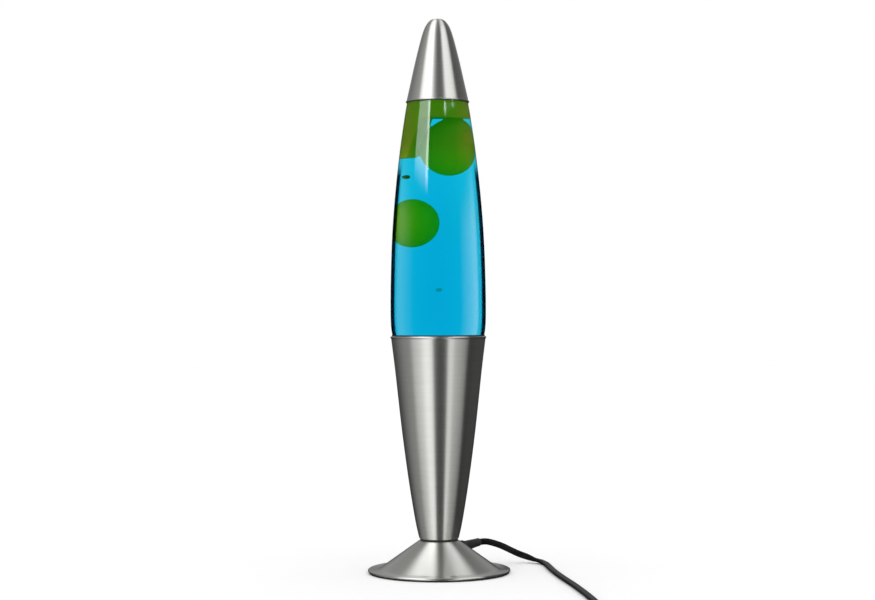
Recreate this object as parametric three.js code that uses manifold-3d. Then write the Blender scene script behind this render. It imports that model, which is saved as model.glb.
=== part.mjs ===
// A rocket-shaped motion lamp: a spun metal foot and cone hold a reflector bulb under a glass bottle
// of coloured liquid and wax, a pointed metal nose covers the bottle's crown cap, and a flat mains
// lead with an in-line switch runs from the foot to a two-pin plug.
// Millimetres, +Z up, origin at the centre of the foot's underside. The lead leaves towards +X and
// comes forward, towards -Y.
import * as THREE from 'three';
import { mergeVertices } from 'three/addons/utils/BufferGeometryUtils.js';
import Module from 'manifold-3d';

const wasm = await Module();
wasm.setup();

// ---------- Driving dimensions ----------

const gap = 0.3; // clearance between pieces that touch
const sheet = 0.8; // spun metal thickness
const coarse = 28; // facets round the large turned pieces
const fine = 16; // facets round the smaller ones
const small = 12; // facets round pins, screws and contacts

const foot = {
  padInner: 30,
  padOuter: 53,
  padThickness: 0.8,
  plateOuter: 51.6,
  plateThickness: 0.8,
  rimRadius: 54,
  rimBead: 0.95,
  flangeTop: 3,
  flankFoot: 45.2,
  flankHead: 16.2,
  height: 24.5,
};

const cone = {
  floorZ: foot.height + gap,
  footRadius: 15,
  lipZ: 178.6,
  lipRadius: 36.4,
  lipBead: 0.75,
};

const seat = { inner: 32.7, outer: 34.1, bottomZ: 170.6, topZ: 173.4 };

const nipple = { radius: 5, bore: 3.6, bottomZ: 20.5, topZ: 41 };
const nut = { acrossFlats: 14, lowerHeight: 2.5, upperHeight: 3 };
const washer = { radius: 8, thickness: 0.8 };

const holder = {
  bottomZ: 36,
  jointZ: 50,
  topZ: 80,
  radius: 12.8,
  wall: 1.4,
  floor: 2,
  insertTop: 59,
  shellInner: 7.2,
  shellOuter: 7.7,
  shellTop: 76,
  contactRadius: 2.4,
  terminalX: 7.5,
  terminalRadius: 1.8,
  terminalHeight: 2.4,
};
const terminalWireDiameter = 1.6;

const bulb = {
  tipZ: 61.9,
  tipTop: 63.2,
  shellZ: 66.3,
  threadPitch: 2.82,
  threadRidges: 4,
  neckZ: 81,
  stemRadius: 3.6,
  stemNeck: 1.8,
  stemTop: 90,
  faceZ: 129,
  radius: 19.5,
  widestZ: 115,
  wall: 0.8,
};
const filament = { halfSpan: 5, z: 103, rise: 1.2, diameter: 0.7, supportDiameter: 0.8 };

const bottle = {
  bottomZ: 142,
  floorZ: 146.4,
  wall: 2.2,
  shoulderZ: 355.6,
  neckZ: 371,
  topZ: 377,
  neckRadius: 12.4,
  neckBore: 9,
};

const crown = { topRadius: 13.2, skirtRadius: 16.2, skirtDepth: 4.6, sheet: 0.45, linerRadius: 12.6 };

const nose = { rimZ: 356.3, rimRadius: 23.6, shoulderZ: 410, tipZ: 420 };

const wax = {
  undersideZ: 343,
  lobeUndersideZ: 313,
  lobeRadius: 24,
  lobeX: -28,
  blob: { x: -14.6, y: 0, z: 264, half: 15.5, halfHeight: 18 },
  hangingBlob: { x: 6.5, y: -4, z: 321, half: 17.5, halfHeight: 21.8 },
  upperDroplet: { x: -13.1, y: 19.2, z: 299.2, half: 1.3, halfHeight: 1.5 },
  lowerDroplet: { x: 0.4, y: 20, z: 214.2, half: 1.5, halfHeight: 1.3 },
  neckRadius: 5,
  poolTop: 153,
};
const heatingCoil = { radius: 17, wire: 1.1 };

const lead = { width: 5, thickness: 3.1, sides: 8 };

const relief = {
  azimuth: THREE.MathUtils.degToRad(50),
  climb: THREE.MathUtils.degToRad(5),
  radiusFromAxis: 27,
  z: 16.7,
  innerEnd: -15,
  outerEnd: 21,
  innerRadius: 4,
  groove: 0.4,
  tipRadius: 3.2,
  lockRadius: 5.5,
  lockStart: -14,
  lockEnd: -11.6,
};

const inlineSwitch = {
  x: 43,
  y: -277,
  length: 60,
  width: 25,
  corner: 8,
  splitZ: 7.4,
  topZ: 15.2,
  bottomZ: 0.3,
  floor: 1.6,
  pocketLength: 34,
  pocketWidth: 19,
  screwX: 22,
};
const rockerWindow = { length: 16.8, width: 11.8 };
const rocker = {
  length: 15,
  width: 11,
  pivotZ: 11.5,
  pivotRadius: 1,
  pivotPlay: 0.08,
  pinHalfLength: 8,
  tilt: THREE.MathUtils.degToRad(8),
};

const coil = {
  x: -34,
  y: -243.1,
  outerTurn: 33.9,
  innerTurn: 19.1,
  bottomZ: 0.6,
  topZ: 7.2,
};
const tie = { band: 0.5, width: 5, floorGap: 0.15 };

const plug = {
  x: 28,
  y: -244.5,
  z: 7.2,
  reliefLength: 15,
  reliefRadius: 5,
  reliefTip: 3.3,
  bodyLength: 36,
  width: 35.3,
  height: 13.7,
  bevel: 1,
};
const pin = {
  length: 19,
  radius: 2,
  pitch: 18.6,
  tip: 1.2,
  sleeveLength: 10,
  coreRadius: 1.2,
  sleeveBore: 1.5,
};

// ---------- Materials ----------

function material(color, roughness, metalness) {
  return new THREE.MeshStandardMaterial({ color, roughness, metalness });
}

const brushedMetal = material(0xa9a9a4, 0.35, 1);
const plainSteel = material(0x8d8d90, 0.4, 1);
const brass = material(0xc9a54c, 0.3, 1);
const tungsten = material(0x55555a, 0.5, 1);
const blackRubber = material(0x101010, 0.7, 0);
const blackPlastic = material(0x141414, 0.45, 0);
const darkBakelite = material(0x1c1714, 0.4, 0);
const leadSheath = material(0x0c0c0c, 0.5, 0);
const brownWire = material(0x5a3214, 0.5, 0);
const blueWire = material(0x1b4fa0, 0.5, 0);
const clearGlass = material(0xdcecf2, 0.05, 0);
const blackGlass = material(0x0b0b0d, 0.1, 0);
const blueLiquid = material(0x01a6d3, 0.05, 0);
const greenWax = material(0x6fa51e, 0.45, 0);
const linerFoam = material(0xd8d8d0, 0.8, 0);

// ---------- Geometry helpers ----------

// Merged vertices, no collapsed triangles, faces pointing out.
function closed(geometry) {
  const bare = geometry.index ? geometry.toNonIndexed() : geometry.clone();
  bare.deleteAttribute('normal');
  bare.deleteAttribute('uv');
  const merged = mergeVertices(bare);
  const corners = merged.index.array;
  const kept = [];
  for (let i = 0; i < corners.length; i += 3) {
    const [a, b, c] = [corners[i], corners[i + 1], corners[i + 2]];
    if (a !== b && b !== c && c !== a) kept.push(a, b, c);
  }
  if (signedVolume(merged.attributes.position, kept) < 0) kept.reverse();
  merged.setIndex(kept);
  return merged;
}

function signedVolume(position, corners) {
  const [a, b, c] = [new THREE.Vector3(), new THREE.Vector3(), new THREE.Vector3()];
  let sixfold = 0;
  for (let i = 0; i < corners.length; i += 3) {
    a.fromBufferAttribute(position, corners[i]);
    b.fromBufferAttribute(position, corners[i + 1]);
    c.fromBufferAttribute(position, corners[i + 2]);
    sixfold += a.dot(b.cross(c));
  }
  return sixfold / 6;
}

function solid(geometry) {
  const mesh = closed(geometry);
  return new wasm.Manifold(
    new wasm.Mesh({
      numProp: 3,
      vertProperties: new Float32Array(mesh.attributes.position.array),
      triVerts: new Uint32Array(mesh.index.array),
    }),
  );
}

function geometryOf(manifold) {
  const mesh = manifold.getMesh();
  const geometry = new THREE.BufferGeometry();
  geometry.setAttribute('position', new THREE.BufferAttribute(mesh.vertProperties, 3));
  geometry.setIndex(new THREE.BufferAttribute(mesh.triVerts, 1));
  return geometry;
}

// A turned solid about Z from [radius, z] points. A profile that leaves the axis open is a ring,
// and is closed on itself.
function turned(profile, facets = coarse) {
  const points = profile.map(([radius, z]) => new THREE.Vector2(radius, z));
  const onAxis = points[0].x === 0 && points[points.length - 1].x === 0;
  if (!onAxis) points.push(points[0].clone());
  return new THREE.LatheGeometry(points, facets).rotateX(Math.PI / 2);
}

function ring(inner, outer, bottom, top, facets = fine) {
  return turned([[inner, bottom], [outer, bottom], [outer, top], [inner, top]], facets);
}

function disc(radius, bottom, top, facets = fine) {
  return turned([[0, bottom], [radius, bottom], [radius, top], [0, top]], facets);
}

function arc(centreRadius, centreZ, radius, fromDegrees, toDegrees, steps) {
  return Array.from({ length: steps + 1 }, (_, i) => {
    const angle = THREE.MathUtils.degToRad(fromDegrees + ((toDegrees - fromDegrees) * i) / steps);
    return [centreRadius + radius * Math.cos(angle), centreZ + radius * Math.sin(angle)];
  });
}

// Points on a smooth outline through a few [radius, z] points.
function smooth(points, steps) {
  const curve = new THREE.SplineCurve(points.map(([radius, z]) => new THREE.Vector2(radius, z)));
  return curve.getPoints(steps).map(({ x, y }) => [x, y]);
}

function thinned(outline, thickness) {
  return outline.map(([radius, z]) => [Math.max(radius - thickness, 0), z]);
}

function ellipsoid({ x, y, z, half, halfHeight }, grow = 0, across = fine, up = 10) {
  return new THREE.SphereGeometry(1, across, up)
    .rotateX(Math.PI / 2)
    .scale(half + grow, half + grow, halfHeight + grow)
    .translate(x, y, z);
}

function hexNut(acrossFlats, bore, bottom, top) {
  const corner = acrossFlats / Math.sqrt(3);
  const corners = Array.from({ length: 6 }, (_, i) => {
    const angle = (i * Math.PI) / 3;
    return new THREE.Vector2(corner * Math.cos(angle), corner * Math.sin(angle));
  });
  const outline = new THREE.Shape(corners);
  const hole = new THREE.Path();
  hole.absarc(0, 0, bore, 0, 2 * Math.PI, true);
  outline.holes.push(hole);
  const settings = { depth: top - bottom, bevelEnabled: false, curveSegments: fine };
  return new THREE.ExtrudeGeometry(outline, settings).translate(0, 0, bottom);
}

function roundedRectangle(length, width, radius) {
  const [x, y] = [length / 2, width / 2];
  const outline = new THREE.Shape();
  outline.absarc(x - radius, y - radius, radius, 0, Math.PI / 2);
  outline.absarc(radius - x, y - radius, radius, Math.PI / 2, Math.PI);
  outline.absarc(radius - x, radius - y, radius, Math.PI, 1.5 * Math.PI);
  outline.absarc(x - radius, radius - y, radius, 1.5 * Math.PI, 2 * Math.PI);
  return outline;
}

function block(length, width, bottom, top, x, y, corner = 0.5) {
  const settings = { depth: top - bottom, bevelEnabled: false, curveSegments: 3 };
  return new THREE.ExtrudeGeometry(roundedRectangle(length, width, corner), settings).translate(x, y, bottom);
}

// An oval section, its short side along the path's first normal.
function oval(thickness, width, sides) {
  const outline = new THREE.Shape();
  outline.setFromPoints(
    Array.from({ length: sides }, (_, i) => {
      const angle = (2 * Math.PI * (i + 0.5)) / sides;
      return new THREE.Vector2((thickness / 2) * Math.cos(angle), (width / 2) * Math.sin(angle));
    }),
  );
  return outline;
}

function round(diameter) {
  return oval(diameter, diameter, 8);
}

function tube(points, section, steps) {
  const extrudePath = new THREE.CatmullRomCurve3(
    points.map((point) => new THREE.Vector3(...point)),
    false,
    'centripetal',
  );
  return new THREE.ExtrudeGeometry(section, { steps, extrudePath, bevelEnabled: false });
}

const lamp = new THREE.Group();

function add(name, geometry, look) {
  const mesh = new THREE.Mesh(closed(geometry), look);
  mesh.name = name;
  lamp.add(mesh);
}

// ---------- Foot ----------

const plateBottom = foot.padThickness + gap;
const flangeUnderside = foot.flangeTop - sheet;

function footPad() {
  return ring(foot.padInner, foot.padOuter, 0, foot.padThickness, coarse);
}

function bottomPlate() {
  return disc(foot.plateOuter, plateBottom, plateBottom + foot.plateThickness, coarse);
}

// Flat top, straight flank, flat flange and a bead rolled under its edge.
function baseShell() {
  const hole = nipple.radius + gap;
  const beadCentre = foot.rimRadius - foot.rimBead;
  const topSide = [
    [hole, foot.height],
    [foot.flankHead - 1.2, foot.height],
    [foot.flankHead - 0.3, foot.height - 0.3],
    [foot.flankHead, foot.height - 0.9],
    [foot.flankFoot - 1.3, foot.flangeTop + 1.1],
    [foot.flankFoot + 1.6, foot.flangeTop],
  ];
  const bead = arc(beadCentre, foot.flangeTop - foot.rimBead, foot.rimBead, 90, -120, 4);
  const underside = [
    [beadCentre - 0.5, flangeUnderside],
    [foot.flankFoot + 1, flangeUnderside],
    [foot.flankFoot - 2.2, flangeUnderside + 0.9],
    [foot.flankHead - 1.2, foot.height - sheet - 0.4],
    [foot.flankHead - 2, foot.height - sheet],
    [hole, foot.height - sheet],
  ];
  return turned([...topSide, ...bead, ...underside]);
}

// Turns a piece made along +Z onto the lead's way out, with z = 0 on the flank.
function alongExit(geometry) {
  const axis = exitDirection();
  const turn = new THREE.Quaternion().setFromUnitVectors(new THREE.Vector3(0, 0, 1), axis);
  const place = exitPoint(0);
  return geometry.applyQuaternion(turn).translate(place.x, place.y, place.z);
}

function exitDirection() {
  const flat = Math.cos(relief.climb);
  return new THREE.Vector3(
    flat * Math.cos(relief.azimuth),
    flat * Math.sin(relief.azimuth),
    Math.sin(relief.climb),
  );
}

function exitPoint(along) {
  const onFlank = new THREE.Vector3(
    relief.radiusFromAxis * Math.cos(relief.azimuth),
    relief.radiusFromAxis * Math.sin(relief.azimuth),
    relief.z,
  );
  return onFlank.addScaledVector(exitDirection(), along);
}

function baseFlange() {
  const halfBore = 9;
  const bore = alongExit(disc(relief.innerRadius + gap, -halfBore, halfBore));
  return geometryOf(solid(baseShell()).subtract(solid(bore)));
}

function strainRelief() {
  const neckEnd = -8;
  const profile = [
    [0, relief.innerEnd],
    [relief.innerRadius - relief.groove, relief.innerEnd],
    [relief.innerRadius - relief.groove, neckEnd - 2],
    [relief.innerRadius, neckEnd],
    [relief.tipRadius, relief.outerEnd - 1],
    [relief.tipRadius - 0.5, relief.outerEnd],
    [0, relief.outerEnd],
  ];
  return alongExit(turned(profile, fine));
}

function reliefLockRing() {
  const { innerRadius, groove, lockRadius, lockStart, lockEnd } = relief;
  return alongExit(ring(innerRadius - groove + gap, lockRadius, lockStart, lockEnd));
}

function innerCord() {
  const start = exitPoint(relief.innerEnd - gap);
  const route = [
    start.toArray(),
    [start.x * 0.6, start.y * 0.6, start.z - 1.3],
    [start.x * 0.22, start.y * 0.22, start.z - 0.7],
    [0.1, 0.1, nipple.bottomZ - 1.8],
    [0, 0, nipple.bottomZ + 4],
    [0, 0, nipple.topZ + 1],
  ];
  return tube(route, oval(lead.thickness, lead.width, lead.sides), 12);
}

// ---------- Threaded nipple and its nuts ----------

const coneFloorTop = cone.floorZ + sheet;

function threadedNipple() {
  return ring(nipple.bore, nipple.radius, nipple.bottomZ, nipple.topZ);
}

function lowerNut() {
  const top = foot.height - sheet - gap;
  return hexNut(nut.acrossFlats, nipple.radius + gap, top - nut.lowerHeight, top);
}

function lockWasher() {
  const bottom = coneFloorTop + gap;
  return ring(nipple.radius + gap, washer.radius, bottom, bottom + washer.thickness);
}

function upperNut() {
  const bottom = coneFloorTop + washer.thickness + 2 * gap;
  return hexNut(nut.acrossFlats, nipple.radius + gap, bottom, bottom + nut.upperHeight);
}

// ---------- Body cone ----------

const coneOutline = smooth(
  [
    [cone.footRadius, cone.floorZ + 0.9],
    [18, 39.8],
    [22.9, 70.2],
    [27.9, 108],
    [32.9, 153.6],
    [35.2, 172.5],
    [35.75, cone.lipZ - 1.4],
  ],
  7,
);

function bodyCone() {
  const beadCentre = cone.lipRadius - cone.lipBead;
  const bead = arc(beadCentre, cone.lipZ - cone.lipBead + 0.6, cone.lipBead, -50, 175, 4);
  const inside = thinned(coneOutline, sheet).reverse();
  return turned([
    [nipple.radius + gap, cone.floorZ],
    [cone.footRadius - 0.9, cone.floorZ],
    ...coneOutline,
    ...bead,
    ...inside.slice(0, -1),
    [cone.footRadius - sheet - 0.4, coneFloorTop],
    [nipple.radius + gap, coneFloorTop],
  ]);
}

// Heat-proof ring that the bottle's foot wedges into.
function seatRing() {
  const { inner, outer, bottomZ, topZ } = seat;
  return turned([[inner, bottomZ], [outer - 0.3, bottomZ], [outer, topZ], [outer - 0.6, topZ]]);
}

// ---------- Lampholder, E14 ----------

function holderCap() {
  const { bottomZ, jointZ, radius, wall, floor } = holder;
  const hole = nipple.radius + gap;
  return turned(
    [
      [hole, bottomZ],
      [radius - 3, bottomZ],
      [radius, bottomZ + 4],
      [radius, jointZ],
      [radius - wall, jointZ],
      [radius - wall, bottomZ + floor + 2.6],
      [radius - 3.6, bottomZ + floor],
      [hole, bottomZ + floor],
    ],
    fine,
  );
}

function holderSleeve() {
  const { jointZ, topZ, radius, wall } = holder;
  return turned(
    [
      [radius - wall, jointZ + gap],
      [radius, jointZ + gap],
      [radius, topZ - 6],
      [radius - 1.2, topZ],
      [radius - 1.2 - wall, topZ],
      [radius - wall, topZ - 6],
    ],
    fine,
  );
}

function holderInsert() {
  return disc(holder.radius - holder.wall - gap, holder.jointZ + gap, holder.insertTop);
}

function holderScrewShell() {
  return ring(holder.shellInner, holder.shellOuter, holder.insertTop + gap, holder.shellTop);
}

function holderCentreContact() {
  return disc(holder.contactRadius, holder.insertTop + gap, bulb.tipZ - gap, small);
}

function holderTerminal(side) {
  const { jointZ, terminalX, terminalRadius, terminalHeight } = holder;
  return disc(terminalRadius, jointZ - terminalHeight, jointZ, small).translate(side * terminalX, 0, 0);
}

function terminalWire(side) {
  const from = nipple.topZ + 1 + gap;
  const to = holder.jointZ - holder.terminalHeight - 2 * gap;
  const route = [
    [side * 1.5, 0, from],
    [side * 2.2, 0, from + 1.6],
    [side * (holder.terminalX - 1.3), 0, to - 1.6],
    [side * holder.terminalX, 0, to],
  ];
  return tube(route, round(terminalWireDiameter), 6);
}

// ---------- Reflector bulb, E14 ----------

// Rounded ridges stand in for the screw thread.
function bulbScrewShell() {
  const outside = [];
  for (let i = 0; i < bulb.threadRidges; i += 1) {
    const bottom = bulb.shellZ + 0.8 + i * bulb.threadPitch;
    outside.push([6.5, bottom], [6.85, bottom + bulb.threadPitch / 2]);
  }
  return turned(
    [[6, bulb.shellZ], [6.4, bulb.shellZ], ...outside, [6.6, bulb.neckZ], [6.1, bulb.neckZ]],
    fine,
  );
}

function bulbInsulator() {
  const bottom = bulb.tipTop + gap;
  return turned([[0, bottom], [3.3, bottom], [5.7, bulb.shellZ - gap], [0, bulb.shellZ - gap]]);
}

function bulbTipContact() {
  return turned([[0, bulb.tipZ], [1.8, bulb.tipZ], [2.8, bulb.tipTop], [0, bulb.tipTop]], fine);
}

const envelopeOutline = smooth(
  [
    [5.5, 70],
    [5.6, 81.6],
    [7.4, 85],
    [13.4, 94],
    [18.6, 107],
    [bulb.radius, bulb.widestZ],
    [17.6, 122.6],
    [11, 127.4],
    [0, bulb.faceZ],
  ],
  16,
);

function bulbEnvelope() {
  const inside = envelopeOutline.map(([radius, z]) => [
    Math.max(radius - bulb.wall, 0),
    z > bulb.widestZ ? z - bulb.wall : z,
  ]);
  return turned([...envelopeOutline, ...inside.reverse()], fine);
}

function bulbStem() {
  const { shellZ, stemRadius, stemNeck, stemTop } = bulb;
  const foot = shellZ + 0.7;
  return turned(
    [[0, foot], [stemRadius, foot], [stemRadius, 76], [stemNeck, 84], [stemNeck, stemTop], [0, stemTop]],
    fine,
  );
}

function bulbLeadWire(side) {
  const route = [
    [side * 1, 0, bulb.stemTop + gap],
    [side * 2.2, 0, bulb.stemTop + 4],
    [side * filament.halfSpan, 0, filament.z - filament.supportDiameter / 2 - gap],
  ];
  return tube(route, round(filament.supportDiameter), 4);
}

function bulbFilament() {
  const { halfSpan, z, rise, diameter } = filament;
  const end = halfSpan + 0.4;
  const route = [
    [-end, 0, z],
    [-halfSpan / 2, 0, z + rise],
    [halfSpan / 2, 0, z + rise],
    [end, 0, z],
  ];
  return tube(route, round(diameter), 8);
}

// ---------- Bottle ----------

const bottleWaist = smooth(
  [
    [29.2, 147],
    [31.2, 160],
    [32.3, 171],
    [34.6, 178.6],
    [35.9, 188],
    [36.15, 203],
    [35.9, 222],
    [35.1, 247.6],
    [33.6, 272],
    [31.4, 296.2],
    [28.6, 320.4],
    [25.2, 344],
    [23.35, 355],
  ],
  10,
);

const innerTop = 365; // level of the wax in the neck
const beyondGlass = 40; // radius of a disc wider than the bottle

function glassBottle() {
  const { bottomZ, floorZ, wall, shoulderZ, neckZ, topZ, neckRadius, neckBore } = bottle;
  const inside = thinned(bottleWaist, wall).filter(([, z]) => z > floorZ + 2).reverse();
  return turned([
    [0, bottomZ + 1.4],
    [17, bottomZ + 0.8],
    [23, bottomZ],
    [27, bottomZ + 1.2],
    ...bottleWaist,
    [22.3, shoulderZ + 0.3],
    [20.2, 362.5],
    [15.6, 367.8],
    [neckRadius, neckZ - 1.4],
    [neckRadius, neckZ + 2.2],
    [neckRadius + 0.9, neckZ + 3],
    [neckRadius + 0.9, topZ - 0.6],
    [neckRadius, topZ],
    [neckBore, topZ],
    [neckBore, neckZ - 2],
    [13.4, innerTop],
    [17.8, 361.4],
    ...inside,
    [25.4, floorZ + 1],
    [22, floorZ],
    [0, floorZ],
  ]);
}

// The space inside the bottle up to a level, kept clear of the glass.
function filling(topLevel) {
  const floor = bottle.floorZ + gap;
  const clear = thinned(bottleWaist, bottle.wall + gap).filter(([, z]) => z > floor + 2);
  return turned([
    [0, floor],
    [21.8, floor],
    [25, floor + 1.1],
    ...clear,
    [17.3, 361],
    [12.8, topLevel - 0.5],
    [0, topLevel - 0.3],
  ]);
}

const crownTop = bottle.topZ + 1.4;
const crownUnderside = crownTop - crown.sheet;

function crownCap() {
  const { topRadius, skirtRadius, skirtDepth } = crown;
  const skirtFoot = bottle.topZ - skirtDepth;
  return turned(
    [
      [0, crownTop],
      [topRadius, crownTop],
      [topRadius + 1.4, crownTop - 0.5],
      [skirtRadius, skirtFoot],
      [skirtRadius - 0.3, skirtFoot - 0.2],
      [topRadius + 0.8, crownTop - 1.2],
      [topRadius - 0.2, crownUnderside],
      [0, crownUnderside],
    ],
    fine,
  );
}

function crownLiner() {
  return disc(crown.linerRadius, bottle.topZ + gap, crownUnderside - gap);
}

// ---------- Wax and liquid ----------

// The wax gathered at the top: a plug across the shoulder, a lobe down the left wall and a round
// blob still hanging from it by a neck. A positive grow gives the room that the liquid leaves it.
function crownMass(grow) {
  const plugSolid = solid(disc(beyondGlass, wax.undersideZ - grow, innerTop + 10, coarse));
  const lobe = solid(
    disc(wax.lobeRadius + grow, wax.lobeUndersideZ - grow, wax.undersideZ + 2, coarse).translate(
      wax.lobeX,
      0,
      0,
    ),
  );
  const hanging = solid(ellipsoid(wax.hangingBlob, grow));
  const neck = solid(
    disc(wax.neckRadius + grow, wax.undersideZ - 4, wax.undersideZ + 2).translate(
      wax.hangingBlob.x,
      wax.hangingBlob.y,
      0,
    ),
  );
  return plugSolid.add(lobe).add(hanging).add(neck);
}

function waxCrown() {
  return geometryOf(solid(filling(innerTop)).intersect(crownMass(0)));
}

function heatingCoilRing(grow) {
  const { radius, wire } = heatingCoil;
  const height = bottle.floorZ + gap + wire;
  return turned(arc(radius, height, wire + grow, 0, 300, 5), fine);
}

function waxPool() {
  const poolLevel = disc(beyondGlass, bottle.bottomZ, wax.poolTop, coarse);
  const pool = solid(filling(innerTop)).intersect(solid(poolLevel));
  return geometryOf(pool.subtract(solid(heatingCoilRing(gap))));
}

// A thin way from a droplet's hollow out to the glass, so that no hollow in the liquid is sealed.
function drain(piece) {
  const outward = Math.atan2(piece.y, piece.x);
  const half = 0.5;
  return block(beyondGlass, 2 * half, piece.z - half, piece.z + half, beyondGlass / 2, 0, 0.2)
    .rotateZ(outward)
    .translate(piece.x, piece.y, 0);
}

function droplet(sizes) {
  return ellipsoid(sizes, 0, 10, 6);
}

function liquid() {
  const poolRoom = disc(beyondGlass, bottle.bottomZ, wax.poolTop + gap, coarse);
  const body = solid(filling(innerTop)).subtract(solid(poolRoom));
  const hollows = [wax.blob, wax.upperDroplet, wax.lowerDroplet];
  return geometryOf(
    hollows.reduce(
      (left, piece) => left.subtract(solid(ellipsoid(piece, gap))).subtract(solid(drain(piece))),
      body.subtract(crownMass(gap)),
    ),
  );
}

// ---------- Nose cap ----------

const noseOutline = smooth(
  [
    [nose.rimRadius, nose.rimZ + 0.8],
    [20.9, 369],
    [17.9, 382.6],
    [14.6, 396.3],
    [11.5, 407.7],
    [8.8, 414.5],
    [5, 418.9],
    [0, nose.tipZ],
  ],
  9,
);

function noseCap() {
  const inside = noseOutline.map(([radius, z]) => [
    Math.max(radius - sheet, 0),
    z > nose.shoulderZ ? z - sheet : z,
  ]);
  return turned([
    ...noseOutline,
    ...inside.reverse(),
    [nose.rimRadius - sheet, nose.rimZ],
    [nose.rimRadius - 0.2, nose.rimZ],
  ]);
}

// ---------- Mains lead ----------

const floorLevel = 2; // centre of the lead where it lies on the ground
const coilLevel = 3.9; // middle of the coil's height
const reliefTip = exitPoint(relief.outerEnd + 2 * gap);
const switchEnd = inlineSwitch.length / 2 + gap;

const routeFromLamp = [
  reliefTip.toArray(),
  [36, 41.5, 18.4],
  [43, 46.6, 16.4],
  [50, 50.9, 13.4],
  [56.5, 53.5, 10],
  [63, 54.4, 6.9],
  [69.4, 53.4, 4.7],
  [75, 50.2, 3],
  [79.6, 45, 2.2],
  [82.4, 38, floorLevel],
  [83.8, 28, floorLevel],
  [86.6, -6, floorLevel],
  [91.6, -46, floorLevel],
  [96.9, -82, floorLevel],
  [103.5, -140, floorLevel],
  [107, -190, floorLevel],
  [108, -235, floorLevel],
  [106.3, -254, floorLevel],
  [98.8, -268.2, 2.6],
  [87, -275.6, 4.6],
  [inlineSwitch.x + switchEnd, inlineSwitch.y, 5.4],
];

const routeToCoil = [
  [inlineSwitch.x - switchEnd, inlineSwitch.y, 5.4],
  [5, inlineSwitch.y, 4.6],
  [-5, inlineSwitch.y, coilLevel],
  [-14.4, inlineSwitch.y, coilLevel],
];

const routeToPlug = [
  [3.8, -232.9, 3.4],
  [10.5, -238.4, 3.8],
  [18.5, -242.6, 5.4],
  [plug.x - 2 * gap, plug.y, plug.z],
];

function leadRun(route, steps) {
  return tube(route, oval(lead.thickness, lead.width, lead.sides), steps);
}

function cordCoil() {
  const { x, y, outerTurn, innerTurn, bottomZ, topZ } = coil;
  const half = lead.width / 2;
  return ring(innerTurn - half, outerTurn + half, bottomZ, topZ, coarse).translate(x, y, 0);
}

const middleTurn = (coil.outerTurn + coil.innerTurn) / 2;

// A flat band round the coil's section, on its left.
function cordTie() {
  const { band, width, floorGap } = tie;
  const reach = (coil.outerTurn - coil.innerTurn + lead.width) / 2 + gap;
  const top = coil.topZ + gap + band;
  const under = floorGap + 0.2;
  const outer = block(2 * (reach + band), width, floorGap, top, 0, 0, 0.2);
  const hollow = block(2 * reach, width + 3, under, top - band, 0, 0, 0.2);
  return geometryOf(solid(outer).subtract(solid(hollow))).translate(coil.x - middleTurn, coil.y, 0);
}

// The coil's solid is hollowed where the tie passes under it.
function cordCoilOverTie() {
  const wayLength = 40;
  const way = block(wayLength, tie.width + 1, 0, coil.bottomZ + 0.4, coil.x - middleTurn, coil.y);
  return geometryOf(solid(cordCoil()).subtract(solid(way)));
}

// ---------- In-line switch ----------

function switchHalf(bottom, top) {
  const { x, y, length, width, corner } = inlineSwitch;
  return solid(block(length, width, bottom, top, x, y, corner));
}

function switchPocket(bottom, top) {
  const { x, y, pocketLength, pocketWidth } = inlineSwitch;
  return solid(block(pocketLength, pocketWidth, bottom, top, x, y, 2));
}

function switchScrewWay(side) {
  const { x, y, splitZ, screwX } = inlineSwitch;
  const way = turned([[0, -1], [3, -1], [3, 2.2], [1.6, 3.4], [1.6, splitZ + 5.6], [0, splitZ + 5.6]], small);
  return solid(way.translate(x + side * screwX, y, 0));
}

function switchLowerShell() {
  const { bottomZ, splitZ, floor } = inlineSwitch;
  return geometryOf(
    switchHalf(bottomZ, splitZ - gap / 2)
      .subtract(switchPocket(bottomZ + floor, splitZ + 1))
      .subtract(switchScrewWay(-1))
      .subtract(switchScrewWay(1)),
  );
}

function switchUpperShell() {
  const { x, y, splitZ, topZ } = inlineSwitch;
  const opening = solid(block(rockerWindow.length, rockerWindow.width, splitZ, topZ + 2, x, y));
  return geometryOf(
    switchHalf(splitZ + gap / 2, topZ)
      .subtract(switchPocket(splitZ - 1, splitZ + 2))
      .subtract(opening)
      .subtract(solid(rockerPin(gap, rocker.pinHalfLength + 1)))
      .subtract(switchScrewWay(-1))
      .subtract(switchScrewWay(1)),
  );
}

// The rocker's pivot, across the switch.
function rockerPin(grow, halfLength) {
  return disc(rocker.pivotRadius + grow, -halfLength, halfLength, small)
    .rotateX(Math.PI / 2)
    .translate(inlineSwitch.x, inlineSwitch.y, rocker.pivotZ);
}

// A shallow V on top, tilted to its "on" side.
function switchRocker() {
  const half = rocker.length / 2;
  const side = new THREE.Shape();
  side.moveTo(-half + 1.2, -3);
  side.lineTo(half - 1.2, -3);
  side.lineTo(half, 5);
  side.lineTo(0, 4);
  side.lineTo(-half, 5);
  side.closePath();
  const settings = { depth: rocker.width, bevelEnabled: false };
  const wedge = new THREE.ExtrudeGeometry(side, settings)
    .translate(0, 0, -rocker.width / 2)
    .rotateX(Math.PI / 2)
    .rotateY(rocker.tilt)
    .translate(inlineSwitch.x, inlineSwitch.y, rocker.pivotZ);
  return geometryOf(solid(wedge).subtract(solid(rockerPin(rocker.pivotPlay, rocker.pinHalfLength + 1))));
}

function switchScrew(side) {
  const { x, y, splitZ, screwX } = inlineSwitch;
  const profile = [[0, 1], [2.7, 1], [2.7, 2.1], [1.3, 3.2], [1.3, splitZ + 5], [0, splitZ + 5]];
  return turned(profile, small).translate(x + side * screwX, y, 0);
}

// ---------- Plug ----------

const plugFace = plug.x + plug.reliefLength + plug.bodyLength;

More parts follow.
